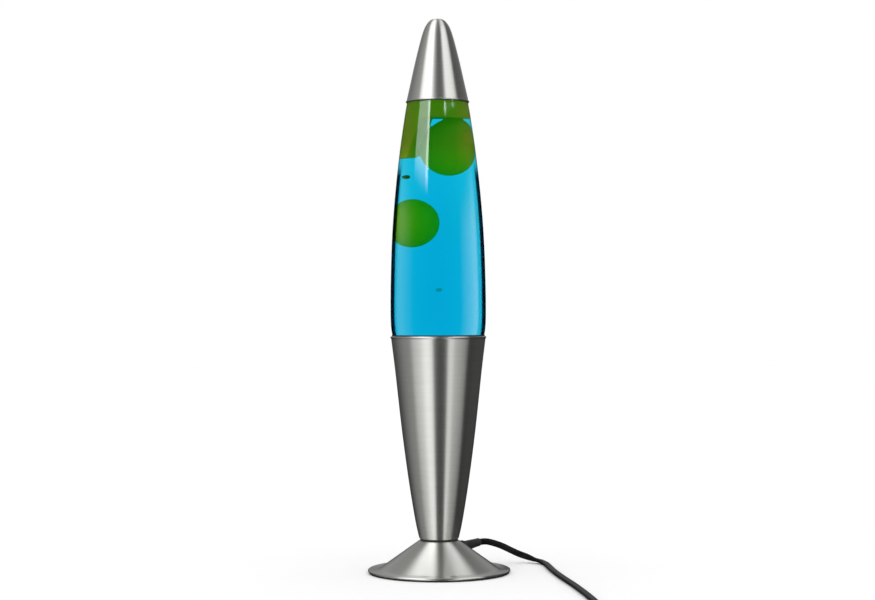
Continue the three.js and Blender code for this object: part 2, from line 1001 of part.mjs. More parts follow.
// Six-sided at the pins, waisted towards the lead, with a tapered relief moulded on.
function plugBody() {
  const half = plug.width / 2;
  const outline = new THREE.Shape();
  outline.moveTo(0, -6);
  outline.lineTo(6, -7);
  outline.quadraticCurveTo(14, -9, 20, -13.5);
  outline.lineTo(27, -half + 1);
  outline.lineTo(plug.bodyLength, -half + 1);
  outline.lineTo(plug.bodyLength, half - 1);
  outline.lineTo(27, half - 1);
  outline.lineTo(20, 13.5);
  outline.quadraticCurveTo(14, 9, 6, 7);
  outline.lineTo(0, 6);
  outline.closePath();
  const { bevel, reliefLength, reliefRadius, reliefTip } = plug;
  const settings = {
    depth: plug.height - 2 * bevel,
    bevelThickness: bevel,
    bevelSize: bevel,
    bevelOffset: 0,
    bevelSegments: 2,
    curveSegments: 4,
  };
  const body = new THREE.ExtrudeGeometry(outline, settings)
    .translate(plug.x + reliefLength, plug.y, plug.z - plug.height / 2 + bevel);
  const taperLength = reliefLength + 3; // its last 3 mm are inside the body
  const taper = disc(reliefRadius, 0, taperLength, fine);
  narrowTowardsOrigin(taper, taperLength, reliefTip / reliefRadius);
  taper.rotateY(Math.PI / 2).translate(plug.x, plug.y, plug.z);
  return geometryOf(solid(body).add(solid(taper)));
}

// Scales a piece along Z down to the given share of its width at z = 0.
function narrowTowardsOrigin(geometry, length, share) {
  const { position } = geometry.attributes;
  for (let i = 0; i < position.count; i += 1) {
    const width = share + (1 - share) * (position.getZ(i) / length);
    position.setX(i, position.getX(i) * width);
    position.setY(i, position.getY(i) * width);
  }
}

const pinRoot = plugFace + plug.bevel + gap;

function onPin(side, geometry) {
  return geometry.rotateY(Math.PI / 2).translate(pinRoot, plug.y + (side * pin.pitch) / 2, plug.z);
}

function plugPin(side) {
  const { sleeveLength, coreRadius, radius, tip, length } = pin;
  const profile = [
    [0, 0],
    [coreRadius, 0],
    [coreRadius, sleeveLength + gap],
    [radius, sleeveLength + gap],
    [radius, length - tip],
    [radius - tip, length],
    [0, length],
  ];
  return onPin(side, turned(profile, small));
}

function plugSleeve(side) {
  return onPin(side, ring(pin.sleeveBore, pin.radius, 0, pin.sleeveLength, small));
}

// ---------- Assembly ----------

add('foot_pad', footPad(), blackRubber);
add('bottom_plate', bottomPlate(), plainSteel);
add('base_flange', baseFlange(), brushedMetal);
add('strain_relief', strainRelief(), blackPlastic);
add('relief_lock_ring', reliefLockRing(), blackPlastic);
add('inner_cord', innerCord(), leadSheath);
add('threaded_nipple', threadedNipple(), plainSteel);
add('lower_nut', lowerNut(), plainSteel);
add('lock_washer', lockWasher(), plainSteel);
add('upper_nut', upperNut(), plainSteel);
add('body_cone', bodyCone(), brushedMetal);
add('seat_ring', seatRing(), blackRubber);

add('holder_cap', holderCap(), darkBakelite);
add('holder_sleeve', holderSleeve(), darkBakelite);
add('holder_insert', holderInsert(), darkBakelite);
add('holder_screw_shell', holderScrewShell(), brass);
add('holder_centre_contact', holderCentreContact(), brass);
add('holder_terminal_1', holderTerminal(-1), brass);
add('holder_terminal_2', holderTerminal(1), brass);
add('live_wire', terminalWire(-1), brownWire);
add('neutral_wire', terminalWire(1), blueWire);

add('bulb_screw_shell', bulbScrewShell(), plainSteel);
add('bulb_insulator', bulbInsulator(), blackGlass);
add('bulb_tip_contact', bulbTipContact(), plainSteel);
add('bulb_envelope', bulbEnvelope(), clearGlass);
add('bulb_stem', bulbStem(), clearGlass);
add('bulb_lead_wire_1', bulbLeadWire(-1), tungsten);
add('bulb_lead_wire_2', bulbLeadWire(1), tungsten);
add('bulb_filament', bulbFilament(), tungsten);

add('glass_bottle', glassBottle(), clearGlass);
add('crown_cap', crownCap(), plainSteel);
add('crown_liner', crownLiner(), linerFoam);
add('liquid', liquid(), blueLiquid);
add('wax_crown', waxCrown(), greenWax);
add('wax_blob', ellipsoid(wax.blob), greenWax);
add('wax_droplet_upper', droplet(wax.upperDroplet), greenWax);
add('wax_droplet_lower', droplet(wax.lowerDroplet), greenWax);
add('wax_pool', waxPool(), greenWax);
add('heating_coil', heatingCoilRing(0), plainSteel);

add('nose_cap', noseCap(), brushedMetal);

add('lead_from_lamp', leadRun(routeFromLamp, 34), leadSheath);
add('lead_to_coil', leadRun(routeToCoil, 4), leadSheath);
add('lead_to_plug', leadRun(routeToPlug, 5), leadSheath);
add('cord_coil', cordCoilOverTie(), leadSheath);
add('cord_tie', cordTie(), blackPlastic);

add('switch_lower_shell', switchLowerShell(), blackPlastic);
add('switch_upper_shell', switchUpperShell(), blackPlastic);
add('switch_rocker', switchRocker(), blackPlastic);
add('switch_pin', rockerPin(0, rocker.pinHalfLength), plainSteel);
add('switch_screw_1', switchScrew(-1), plainSteel);
add('switch_screw_2', switchScrew(1), plainSteel);

add('plug_body', plugBody(), blackPlastic);
add('plug_pin_1', plugPin(-1), plainSteel);
add('plug_pin_2', plugPin(1), plainSteel);
add('plug_sleeve_1', plugSleeve(-1), blackPlastic);
add('plug_sleeve_2', plugSleeve(1), blackPlastic);

export default lamp;
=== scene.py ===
"""Looks for the rocket-shaped motion lamp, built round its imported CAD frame.

Profiles and routes are in millimetres, as [radius, z] or [x, y, z] lists in the lamp's own frame,
and are turned into metres where a mesh is made.
"""

import math

import bmesh
import bpy
import numpy as np
from mathutils import Matrix, Vector


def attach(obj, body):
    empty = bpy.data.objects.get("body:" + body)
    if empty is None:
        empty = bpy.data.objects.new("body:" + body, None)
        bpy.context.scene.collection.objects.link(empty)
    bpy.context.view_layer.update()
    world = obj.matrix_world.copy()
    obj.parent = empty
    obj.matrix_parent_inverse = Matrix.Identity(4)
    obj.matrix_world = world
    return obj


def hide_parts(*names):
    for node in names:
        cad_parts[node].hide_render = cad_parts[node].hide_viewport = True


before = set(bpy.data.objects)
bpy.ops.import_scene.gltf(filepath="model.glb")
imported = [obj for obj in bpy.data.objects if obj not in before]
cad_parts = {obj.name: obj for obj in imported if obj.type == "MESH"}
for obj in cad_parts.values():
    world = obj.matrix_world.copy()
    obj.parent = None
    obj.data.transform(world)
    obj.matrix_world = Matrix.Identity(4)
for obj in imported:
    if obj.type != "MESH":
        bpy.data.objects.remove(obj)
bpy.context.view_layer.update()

MM = 0.001
TURN = 2 * math.pi
GAP = 0.3  # clearance between pieces that touch
SHEET = 0.8  # spun metal thickness
FINE = 192  # facets round a large turned piece
SMALL = 64  # facets round a small one
CREASE = 35  # degrees between faces that still shade as one smooth surface


# ---------- Mesh helpers ----------


def placed(name, data):
    made = bpy.data.objects.new(name, data)
    bpy.context.scene.collection.objects.link(made)
    return made


def closed_mesh(name, verts, faces):
    """A mesh from millimetre vertices, its faces turned outwards."""
    mesh = bpy.data.meshes.new(name)
    mesh.from_pydata([tuple(c * MM for c in v) for v in verts], [], faces)
    work = bmesh.new()
    work.from_mesh(mesh)
    bmesh.ops.remove_doubles(work, verts=work.verts, dist=1e-7)
    bmesh.ops.recalc_face_normals(work, faces=work.faces)
    work.to_mesh(mesh)
    work.free()
    return mesh


def new_object(name, verts, faces, material, body, crease=CREASE, modifiers=()):
    """A smooth-shaded closed piece, riding on a CAD body."""
    mesh = closed_mesh(name, verts, faces)
    mesh.shade_smooth()
    mesh.set_sharp_from_angle(angle=math.radians(crease))
    piece = placed(name, mesh)
    mesh.materials.append(material)
    for kind, settings in modifiers:
        modifier = piece.modifiers.new(kind.title(), kind)
        for key, value in settings.items():
            setattr(modifier, key, value)
    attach(piece, body)
    return piece


def settle(piece):
    """Applies a piece's modifiers to its mesh."""
    bpy.context.view_layer.update()
    seen = piece.evaluated_get(bpy.context.evaluated_depsgraph_get())
    mesh = bpy.data.meshes.new_from_object(seen)
    piece.modifiers.clear()
    piece.data = mesh
    return piece


def stands_for(piece, slot, *nodes):
    """Hides those CAD nodes, which piece replaces; slot is not used."""
    if nodes:
        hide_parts(*nodes)
    return piece


def smooth(points, steps):
    """Catmull-Rom points through a few 2-D or 3-D points, steps to each span."""
    p = np.array(points, float)
    padded = np.vstack([p[0], p, p[-1]])
    made = []
    for i in range(len(p) - 1):
        a, b, c, d = padded[i : i + 4]
        for k in range(steps):
            t = k / steps
            bend = (2 * a - 5 * b + 4 * c - d) * t**2 + (3 * b - a - 3 * c + d) * t**3
            made.append(0.5 * (2 * b + (c - a) * t + bend))
    made.append(p[-1])
    return [list(m) for m in made]


def arc(centre_r, centre_z, radius, start, end, steps):
    """Points of an arc in a profile, angles in degrees."""
    angles = [math.radians(start + (end - start) * i / steps) for i in range(steps + 1)]
    return [[centre_r + radius * math.cos(a), centre_z + radius * math.sin(a)] for a in angles]


def turned_mesh(profile, facets, ripple=None):
    """Vertices and faces of a profile turned about Z; a ring if it leaves the axis open."""
    on_axis = profile[0][0] == 0 and profile[-1][0] == 0
    verts, rings = [], []
    for r, z in profile:
        if r == 0:
            rings.append([len(verts)] * facets)
            verts.append((0, 0, z))
            continue
        rings.append(list(range(len(verts), len(verts) + facets)))
        for k in range(facets):
            angle = TURN * k / facets
            reach = r + (ripple(angle, r, z) if ripple else 0)
            verts.append((reach * math.cos(angle), reach * math.sin(angle), z))
    pairs = list(zip(rings, rings[1:]))
    if not on_axis:
        pairs.append((rings[-1], rings[0]))
    faces = []
    for low, high in pairs:
        for k in range(facets):
            n = (k + 1) % facets
            face = list(dict.fromkeys([low[k], low[n], high[n], high[k]]))
            if len(face) > 2:
                faces.append(face)
    return verts, faces


def turned(name, profile, material, body, facets=FINE, place=None, ripple=None, crease=CREASE):
    """A turned piece, on the lamp's axis or at a place."""
    verts, faces = turned_mesh(profile, facets, ripple)
    if place is not None:
        verts = [tuple(place @ Vector(v)) for v in verts]
    return new_object(name, verts, faces, material, body, crease)


def band(low, high, count):
    """Faces between two numbered rings of count points each."""
    a, b = low * count, high * count
    pairs = [(k, (k + 1) % count) for k in range(count)]
    return [[a + k, a + n, b + n, b + k] for k, n in pairs]


def lofted(name, sections, material, body, crease=CREASE):
    """A closed skin through sections of equally many points, its two ends capped."""
    count = len(sections[0])
    verts = [tuple(p) for section in sections for p in section]
    faces = [list(range(count)), list(range(len(verts) - count, len(verts)))]
    for i in range(len(sections) - 1):
        faces += band(i, i + 1, count)
    return new_object(name, verts, faces, material, body, crease)


def superellipse(half_a, half_b, power, count):
    """Points of a rounded rectangle: power 2 is an ellipse, larger is squarer."""
    made = []
    for k in range(count):
        angle = TURN * (k + 0.5) / count
        c, s = math.cos(angle), math.sin(angle)
        a = half_a * math.copysign(abs(c) ** (2 / power), c)
        b = half_b * math.copysign(abs(s) ** (2 / power), s)
        made.append((a, b))
    return made


def cut(piece, verts, faces):
    """Cuts a closed shape out of a piece."""
    cutter = placed("cutter", closed_mesh("cutter", verts, faces))
    modifier = piece.modifiers.new("Cut", "BOOLEAN")
    modifier.operation = "DIFFERENCE"
    modifier.solver = "EXACT"
    modifier.object = cutter
    settle(piece)
    bpy.data.objects.remove(cutter)
    return piece


def box_shape(x, y, z):
    """Vertices and faces of a box from (low, high) pairs."""
    verts = [(a, b, c) for a in x for b in y for c in z]
    faces = [[0, 1, 3, 2], [4, 6, 7, 5], [0, 4, 5, 1], [2, 3, 7, 6], [0, 2, 6, 4], [1, 5, 7, 3]]
    return verts, faces


# ---------- Camera ----------

CAMERA_DISTANCE = 1370  # from the lamp's axis, along -Y
CAMERA_HEIGHT = 190
SENSOR_WIDTH = 36
FOCAL_LENGTH = 74.3
ROLL = math.radians(-0.2)
SHIFT_RIGHT = -0.0009
SHIFT_UP = 0.0251


def make_camera():
    """A long lens, level, from the front."""
    data = bpy.data.cameras.new("camera")
    data.sensor_width = SENSOR_WIDTH
    data.lens = FOCAL_LENGTH
    data.shift_x = SHIFT_RIGHT
    data.shift_y = SHIFT_UP
    data.clip_start = 0.05
    data.clip_end = 50
    camera = placed("camera", data)
    level = Matrix.Rotation(math.pi / 2, 4, "X") @ Matrix.Rotation(ROLL, 4, "Z")
    place = Vector((0, -CAMERA_DISTANCE, CAMERA_HEIGHT)) * MM
    camera.matrix_world = Matrix.Translation(place) @ level
    bpy.context.scene.camera = camera
    bpy.context.scene.view_settings.view_transform = "Standard"


make_camera()


# ---------- Material helpers ----------


def feed(tree, socket, value):
    """Links a node's output to a socket, or sets a plain value."""
    if isinstance(value, bpy.types.NodeSocket):
        tree.links.new(value, socket)
    else:
        socket.default_value = value


def math_node(tree, operation, *values):
    made = tree.nodes.new("ShaderNodeMath")
    made.operation = operation
    for socket, value in zip(made.inputs, values):
        feed(tree, socket, value)
    return made.outputs[0]


def soft_step(tree, value, low, high):
    """0 below low, 1 above high, with a soft turn between."""
    made = tree.nodes.new("ShaderNodeMapRange")
    made.interpolation_type = "SMOOTHSTEP"
    for socket, number in (("Value", value), ("From Min", low), ("From Max", high)):
        feed(tree, made.inputs[socket], number)
    return made.outputs["Result"]


class Look:
    """A new material with a Principled shader and short ways to add nodes."""

    def __init__(self, name, **values):
        self.material = bpy.data.materials.new(name)
        self.material.use_nodes = True
        self.tree = self.material.node_tree
        self.shader = self.tree.nodes["Principled BSDF"]
        self.place = self.node("ShaderNodeTexCoord").outputs["Object"]
        for key, value in values.items():
            self.shader.inputs[key.replace("_", " ")].default_value = value

    def node(self, kind, settings=None, **inputs):
        made = self.tree.nodes.new(kind)
        for key, value in (settings or {}).items():
            setattr(made, key, value)
        for key, value in inputs.items():
            feed(self.tree, made.inputs[key.replace("_", " ")], value)
        return made

    def math(self, operation, *values):
        return math_node(self.tree, operation, *values)

    def noise(self, size, detail=3):
        """Noise with features about size millimetres across."""
        made = self.node("ShaderNodeTexNoise", Vector=self.place, Scale=1 / (size * MM), Detail=detail)
        return made.outputs["Fac"]

    def ranged(self, value, low, high):
        return self.node("ShaderNodeMapRange", Value=value, To_Min=low, To_Max=high).outputs["Result"]

    def smoothed(self, value, start, end):
        return soft_step(self.tree, value, start, end)

    def mixed(self, value, first, second):
        """Two colours, or colour sockets, mixed by a 0..1 value."""
        made = self.node("ShaderNodeMix", {"data_type": "RGBA"})
        share, *_, first_socket, second_socket = made.inputs[:8]
        self.tree.links.new(value, share)
        for socket, colour in ((first_socket, first), (second_socket, second)):
            plain = isinstance(colour, tuple)
            feed(self.tree, socket, (*colour, 1) if plain else colour)
        return made.outputs[2]

    def axes(self):
        """The surface point's x, y and z in metres."""
        return self.node("ShaderNodeSeparateXYZ", Vector=self.place).outputs

    def drive(self, socket, value):
        self.tree.links.new(value, self.shader.inputs[socket])
        return self

    def bump(self, value, strength, height):
        """Bump of that height in millimetres."""
        made = self.node("ShaderNodeBump", Strength=strength, Distance=height * MM, Height=value)
        return self.drive("Normal", made.outputs["Normal"])


# ---------- Materials ----------

METAL_RINGS = 2600  # turning lines to a metre
METAL_DARK, METAL_LIGHT, METAL_ROUGHNESS = (0.58, 0.58, 0.545), (0.80, 0.80, 0.775), (0.27, 0.34)
WAX_MIDDLE, WAX_SIDE = (0.08, 0.31, 0.003), (0.17, 0.31, 0.002)
# Painted shade: the wax's colours higher up are darker copies of those below.
WAX_SHADED_MIDDLE, WAX_SHADED_SIDE = (0.045, 0.18, 0.002), (0.095, 0.165, 0.002)
WAX_SHADE_HEIGHTS = (293, 330)  # heights between which the wax is painted darker, as painted shade towards the top
WAX_OLIVE = (9, 24)  # millimetres from the axis where the wax turns from green to olive
WAX_CLOUD = 6  # how far that wanders
PAINTED_WAX_GLOW = 0.75  # painted glow of the wax, standing in for light that the bulb below would send up through it


def brushed_metal():
    """Spun and brushed aluminium: fine rings, highlights drawn out across them."""
    look = Look("brushed_metal", Metallic=1.0, Anisotropic=1.0, Anisotropic_Rotation=0.25)
    x, y, z = look.axes()
    angle = look.math("ARCTAN2", y, x)
    squared = look.math("ADD", look.math("MULTIPLY", x, x), look.math("MULTIPLY", y, y))
    radius = look.math("SQRT", squared)
    rise, reach = look.math("MULTIPLY", z, METAL_RINGS), look.math("MULTIPLY", radius, METAL_RINGS)
    ring = look.math("SUBTRACT", rise, reach)

    def drawn_out(round_the_axis, across, detail, roughness=0.5):
        """Noise with so many lumps to a radian and to a ring."""
        turns, rings = look.math("MULTIPLY", angle, round_the_axis), look.math("MULTIPLY", ring, across)
        place = look.node("ShaderNodeCombineXYZ", X=turns, Y=rings).outputs[0]
        made = look.node("ShaderNodeTexNoise", Vector=place, Scale=1.0, Detail=detail, Roughness=roughness)
        return made.outputs["Fac"]

    fine = drawn_out(1.6, 1.0, 4, roughness=0.65)
    broad = drawn_out(0.8, 0.22, 2)
    grain = look.math("ADD", look.math("MULTIPLY", fine, 0.6), look.math("MULTIPLY", broad, 0.4))
    tangent = look.node("ShaderNodeTangent", {"direction_type": "RADIAL", "axis": "Z"}).outputs[0]
    look.drive("Tangent", tangent)
    look.drive("Base Color", look.mixed(grain, METAL_DARK, METAL_LIGHT))
    look.drive("Roughness", look.ranged(grain, *METAL_ROUGHNESS))
    look.bump(grain, 0.08, 0.05)
    return look.material


def plain_metal(name, colour, roughness):
    """Plated or drawn metal with faint scuffs."""
    look = Look(name, Metallic=1.0)
    scuffs = look.noise(1.2, detail=5)
    dark = tuple(c * 0.82 for c in colour)
    look.drive("Base Color", look.mixed(scuffs, dark, colour))
    look.drive("Roughness", look.ranged(scuffs, roughness - 0.07, roughness + 0.1))
    look.bump(look.noise(0.4), 0.1, 0.03)
    return look.material


def moulded_plastic(name, colour, roughness, grain=0.35):
    """Moulded plastic with a fine spark-eroded grain."""
    look = Look(name)
    patches = look.noise(9, detail=3)
    lighter = tuple(c * 1.7 + 0.004 for c in colour)
    look.drive("Base Color", look.mixed(patches, colour, lighter))
    look.drive("Roughness", look.ranged(patches, roughness - 0.06, roughness + 0.08))
    look.bump(look.noise(grain, detail=2), 0.25, 0.04)
    return look.material


def lead_sheath():
    """Extruded PVC: smooth, half gloss, with faint draw marks."""
    look = Look("lead_sheath", Specular_IOR_Level=0.16)
    mottle = look.noise(6, detail=3)
    look.drive("Base Color", look.mixed(mottle, (0.003, 0.003, 0.0032), (0.008, 0.008, 0.0085)))
    look.drive("Roughness", look.ranged(mottle, 0.26, 0.4))
    look.bump(look.noise(1.4, detail=3), 0.12, 0.08)
    return look.material


GLASS_CLEAR, GLASS_PAINTED_DARK_EDGE = (0.985, 0.995, 0.99), (0.0001, 0.0012, 0.003)
EDGE_FACING = (0.54, 0.63)  # how far the wall turns away where it is painted dark, as a painted reflection
EDGE_HEIGHTS = (300, 313)  # above these the bottle holds wax and its edge is not painted dark


def clear_glass(name="clear_glass", wetted=False):
    """Pressed glass, slightly wavy: a painted dark reflection at its edge, and hardly reflecting where
    wetted.
    """
    look = Look(name, Transmission_Weight=1.0, IOR=1.5, Roughness=0.0)
    if wetted:
        look.shader.inputs["Specular Tint"].default_value = (0, 0, 0, 1)
        look.drive("Base Color", look.mixed(look.noise(30), GLASS_CLEAR, (1, 1, 1)))
    else:
        # Painted reflection: the edge is painted dark navy where the wall turns from view, standing in for
        # dark surroundings.
        facing = look.node("ShaderNodeLayerWeight", Blend=0.5).outputs["Facing"]
        turned_away = look.smoothed(facing, *EDGE_FACING)
        _, _, z = look.axes()
        above = look.smoothed(z, EDGE_HEIGHTS[0] * MM, EDGE_HEIGHTS[1] * MM)
        edge = look.math("MULTIPLY", turned_away, look.math("SUBTRACT", 1.0, above))
        look.drive("Base Color", look.mixed(edge, GLASS_CLEAR, GLASS_PAINTED_DARK_EDGE))
    look.bump(look.noise(22, detail=1), 0.06, 0.15)
    return look.material


MIRROR_EDGE = (113.5, 114.5)  # heights between which the bulb's mirror fades out
MIRROR_WAVE = 0.6


def bulb_glass():
    """Thin glass: aluminised behind the filament, satin on its face."""
    look = Look("bulb_glass", IOR=1.45, Base_Color=(0.93, 0.93, 0.92, 1))
    _, _, z = look.axes()
    edge = look.math("ADD", z, look.math("MULTIPLY", look.noise(3), MIRROR_WAVE * MM))
    high, low = MIRROR_EDGE[1] * MM, MIRROR_EDGE[0] * MM
    mirror = look.node("ShaderNodeMapRange", Value=edge, From_Min=high, From_Max=low).outputs["Result"]
    look.drive("Metallic", mirror)
    look.drive("Transmission Weight", look.math("SUBTRACT", 1.0, mirror))
    look.drive("Roughness", look.ranged(mirror, 0.35, 0.12))
    return look.material


DYE, DYE_DENSITY = (0.0, 0.886, 0.966), 100.0  # what the dye lets through, and how much there is


def blue_liquid():
    """Dyed water: clear, with the dye's absorption through its depth."""
    look = Look("blue_liquid", Transmission_Weight=1.0, IOR=1.36, Roughness=0.0)
    look.shader.inputs["Specular Tint"].default_value = (0, 0, 0, 1)
    look.drive("Base Color", look.mixed(look.noise(30), (0.985, 0.995, 1.0), (1.0, 1.0, 1.0)))
    dye = look.node("ShaderNodeVolumeAbsorption", Color=(*DYE, 1), Density=DYE_DENSITY)
    output = look.tree.nodes["Material Output"]
    look.tree.links.new(dye.outputs[0], output.inputs["Volume"])
    return look.material


def green_wax(name="green_wax", painted_glow=PAINTED_WAX_GLOW, opacity=1.0):
    """Molten paraffin: opaque, green at the bottle's middle and olive at its sides, painted darker towards
    the top as painted shade, with a painted glow.
    """
    look = Look(name, Specular_IOR_Level=0.1, Roughness=0.6, Alpha=opacity)
    look.shader.inputs["Subsurface Weight"].default_value = 0.25
    look.shader.inputs["Subsurface Radius"].default_value = (1.0, 0.8, 0.1)
    look.shader.inputs["Subsurface Scale"].default_value = 4 * MM
    x, _, z = look.axes()
    cloud = look.math("MULTIPLY", look.ranged(look.noise(16, detail=2), -0.5, 0.5), WAX_CLOUD * MM)
    off_axis = look.math("ADD", look.math("ABSOLUTE", x), cloud)
    near_side = look.smoothed(off_axis, WAX_OLIVE[0] * MM, WAX_OLIVE[1] * MM)
    # Painted shade: the wax is painted darker towards the top.
    painted_shade_share = look.smoothed(z, WAX_SHADE_HEIGHTS[0] * MM, WAX_SHADE_HEIGHTS[1] * MM)
    low = look.mixed(near_side, WAX_MIDDLE, WAX_SIDE)
    high = look.mixed(near_side, WAX_SHADED_MIDDLE, WAX_SHADED_SIDE)
    colour = look.mixed(painted_shade_share, low, high)
    look.drive("Base Color", colour)
    # Painted glow: the wax emits its own colour, standing in for the bulb's light from below.
    look.drive("Emission Color", colour)
    look.shader.inputs["Emission Strength"].default_value = painted_glow
    look.bump(look.noise(7, detail=1), 0.15, 0.2)
    return look.material


def pale_floor():
    """A matt studio table."""
    look = Look("pale_floor", Roughness=0.9, Specular_IOR_Level=0.05)
    mottle = look.noise(60, detail=4)
    look.drive("Base Color", look.mixed(mottle, (0.90, 0.90, 0.90), (0.92, 0.92, 0.92)))
    return look.material


BRUSHED = brushed_metal()
STEEL = plain_metal("plain_steel", (0.62, 0.62, 0.64), 0.28)
BRASS = plain_metal("brass", (0.75, 0.52, 0.20), 0.25)
TUNGSTEN = plain_metal("tungsten", (0.22, 0.22, 0.24), 0.45)
RUBBER = moulded_plastic("black_rubber", (0.012, 0.012, 0.012), 0.7, grain=0.8)
PLASTIC = moulded_plastic("black_plastic", (0.010, 0.010, 0.011), 0.42)
BAKELITE = moulded_plastic("dark_bakelite", (0.030, 0.018, 0.012), 0.35)
SHEATH = lead_sheath()
BROWN_WIRE = moulded_plastic("brown_wire", (0.10, 0.03, 0.007), 0.4)
BLUE_WIRE = moulded_plastic("blue_wire", (0.01, 0.07, 0.35), 0.4)
GLASS = clear_glass()
WETTED_GLASS = clear_glass("wetted_glass", wetted=True)
BULB_GLASS = bulb_glass()
BLACK_GLASS = moulded_plastic("black_glass", (0.008, 0.008, 0.010), 0.12)
LIQUID = blue_liquid()
WAX = green_wax()
SHADED_WAX = green_wax("shaded_green_wax", painted_glow=0.15)
FAINT_WAX = green_wax("faint_green_wax", opacity=0.3)
FOAM = moulded_plastic("liner_foam", (0.55, 0.55, 0.50), 0.8, grain=0.2)


# ---------- Mains lead ----------

LEAD_WIDTH = 5.0
LEAD_THICKNESS = 3.1
RELIEF_AZIMUTH = math.radians(50)
RELIEF_CLIMB = math.radians(5)
RELIEF_RADIUS = 27  # of the point on the flank where it comes out
RELIEF_Z = 16.7
RELIEF_LENGTH = 21  # outside the flank

SWITCH_X, SWITCH_Y = 43, -277
SWITCH_LEAD_Z = 5.4  # height at which the lead goes through the switch
COIL_X, COIL_Y = -34, -243.1
COIL_OUTER, COIL_PITCH, COIL_TURNS = 33.9, 5.25, 2.8125  # each of two layers
COIL_LOW, COIL_HIGH = 1.7, 4.85  # middle of the lead in each layer
COIL_STEPS = 40  # points to a turn
PLUG_X, PLUG_Y, PLUG_Z = 28, -244.5, 7.2

ON_FLOOR = 1.65  # middle of the lead where it lies flat


def out_and_up(reach, height):
    """A vector that goes so far out at the lead's azimuth, and so far up."""
    return Vector((reach * math.cos(RELIEF_AZIMUTH), reach * math.sin(RELIEF_AZIMUTH), height))


EXIT_DIRECTION = out_and_up(math.cos(RELIEF_CLIMB), math.sin(RELIEF_CLIMB))
ON_FLANK = out_and_up(RELIEF_RADIUS, RELIEF_Z)

ROUTE_FROM_LAMP = [
    list(ON_FLANK + EXIT_DIRECTION * (RELIEF_LENGTH - 4)),
    [36, 41.5, 18.4], [43, 46.6, 16.4], [50, 50.9, 13.4], [56.5, 53.5, 10], [63, 54.4, 6.9],
    [69.4, 53.4, 4.7], [75, 50.2, 3], [79.6, 45, 2.2], [82.4, 38, ON_FLOOR], [83.8, 28, ON_FLOOR],
    [86.6, -6, ON_FLOOR], [91.6, -46, ON_FLOOR], [96.9, -82, ON_FLOOR], [103.5, -140, ON_FLOOR],
    [107, -190, ON_FLOOR], [108, -235, ON_FLOOR], [106.3, -254, ON_FLOOR], [98.8, -268.2, 2.6],
    [87, -275.6, 4.6], [73.3, SWITCH_Y, SWITCH_LEAD_Z],
]
ROUTE_TO_COIL = [
    [12.7, SWITCH_Y, SWITCH_LEAD_Z], [5, SWITCH_Y, 4.6], [-5, SWITCH_Y, 3.2], [-14.4, SWITCH_Y, 2.2],
    [-24, SWITCH_Y, 1.8],
]
ROUTE_TO_PLUG = [
    [3.8, -232.9, 4.4], [10.5, -238.4, 4.8], [18.5, -242.6, 6], [PLUG_X, PLUG_Y, PLUG_Z],
    [PLUG_X + 6, PLUG_Y, PLUG_Z],
]


def coil_points():
    """Two flat layers: in along the floor, up, and out again over them, clockwise from above."""
    total = 2 * COIL_TURNS
    steps = round(total * COIL_STEPS)
    rise = 0.16  # turns spent climbing to the upper layer
    tie_lift, tie_spread = 0.5, 14  # how far it lifts over the tie, and over how many degrees
    made = []
    for i in range(steps + 1):
        turns = total * i / steps
        angle = -math.pi / 2 - TURN * turns
        radius = COIL_OUTER - COIL_PITCH * (COIL_TURNS - abs(COIL_TURNS - turns))
        climb = min(max((turns - COIL_TURNS + rise) / rise, 0), 1)
        z = COIL_LOW + (COIL_HIGH - COIL_LOW) * climb * climb * (3 - 2 * climb)
        from_tie = math.degrees(math.remainder(angle - math.pi, TURN))
        z += tie_lift * math.exp(-((from_tie / tie_spread) ** 2))
        made.append([COIL_X + radius * math.cos(angle), COIL_Y + radius * math.sin(angle), z])
    return made


def evenly(points, step):
    """The same line with points about step millimetres apart."""
    p = np.array(points, float)
    along = np.concatenate([[0], np.cumsum(np.linalg.norm(np.diff(p, axis=0), axis=1))])
    marks = np.linspace(0, along[-1], max(2, round(along[-1] / step)) + 1)
    return np.stack([np.interp(marks, along, p[:, k]) for k in range(3)], axis=1)


def lead_route():
    """Points 1.8 mm apart from inside the strain relief to inside the plug."""
    through_switch = [[SWITCH_X + x, SWITCH_Y, SWITCH_LEAD_Z] for x in (17, 0, -17)]
    to_coil = ROUTE_FROM_LAMP + through_switch + ROUTE_TO_COIL
    return evenly(smooth(to_coil + coil_points() + ROUTE_TO_PLUG, 6), 1.8)


TWIST_START, TWIST_END = 44, 66  # along the lead, in millimetres


def lead_mesh():
    """An oval section along the route, upright at the lamp and flat on the floor."""
    line = lead_route()
    along = np.concatenate([[0], np.cumsum(np.linalg.norm(np.diff(line, axis=0), axis=1))])
    oval = superellipse(LEAD_WIDTH / 2, LEAD_THICKNESS / 2, 2.6, 20)
    sections = []
    for i, point in enumerate(line):
        tangent = Vector(line[min(i + 1, len(line) - 1)] - line[max(i - 1, 0)]).normalized()
        across = tangent.cross(Vector((0, 0, 1))).normalized()
        upright = across.cross(tangent)
        t = min(max((along[i] - TWIST_START) / (TWIST_END - TWIST_START), 0), 1)
        turn = math.pi / 2 * (1 - t * t * (3 - 2 * t))
        wide = across * math.cos(turn) + upright * math.sin(turn)
        thin = upright * math.cos(turn) - across * math.sin(turn)
        sections.append([tuple(Vector(point) + wide * a + thin * b) for a, b in oval])
    return line, sections


def make_lead():
    """The lead's one piece and its middle line in metres."""
    line, sections = lead_mesh()
    lead = lofted("mains_lead", sections, SHEATH, "base", crease=50)
    stands_for(lead, "lead_sheath", "lead_from_lamp", "lead_to_coil", "lead_to_plug", "cord_coil")
    return lead, line * MM


LEAD, LEAD_LINE = make_lead()


def place_along(start, direction):
    """The matrix that takes a piece made along +Z to a point and a direction."""
    turn = Vector((0, 0, 1)).rotation_difference(Vector(direction)).to_matrix().to_4x4()
    return Matrix.Translation(Vector(start)) @ turn


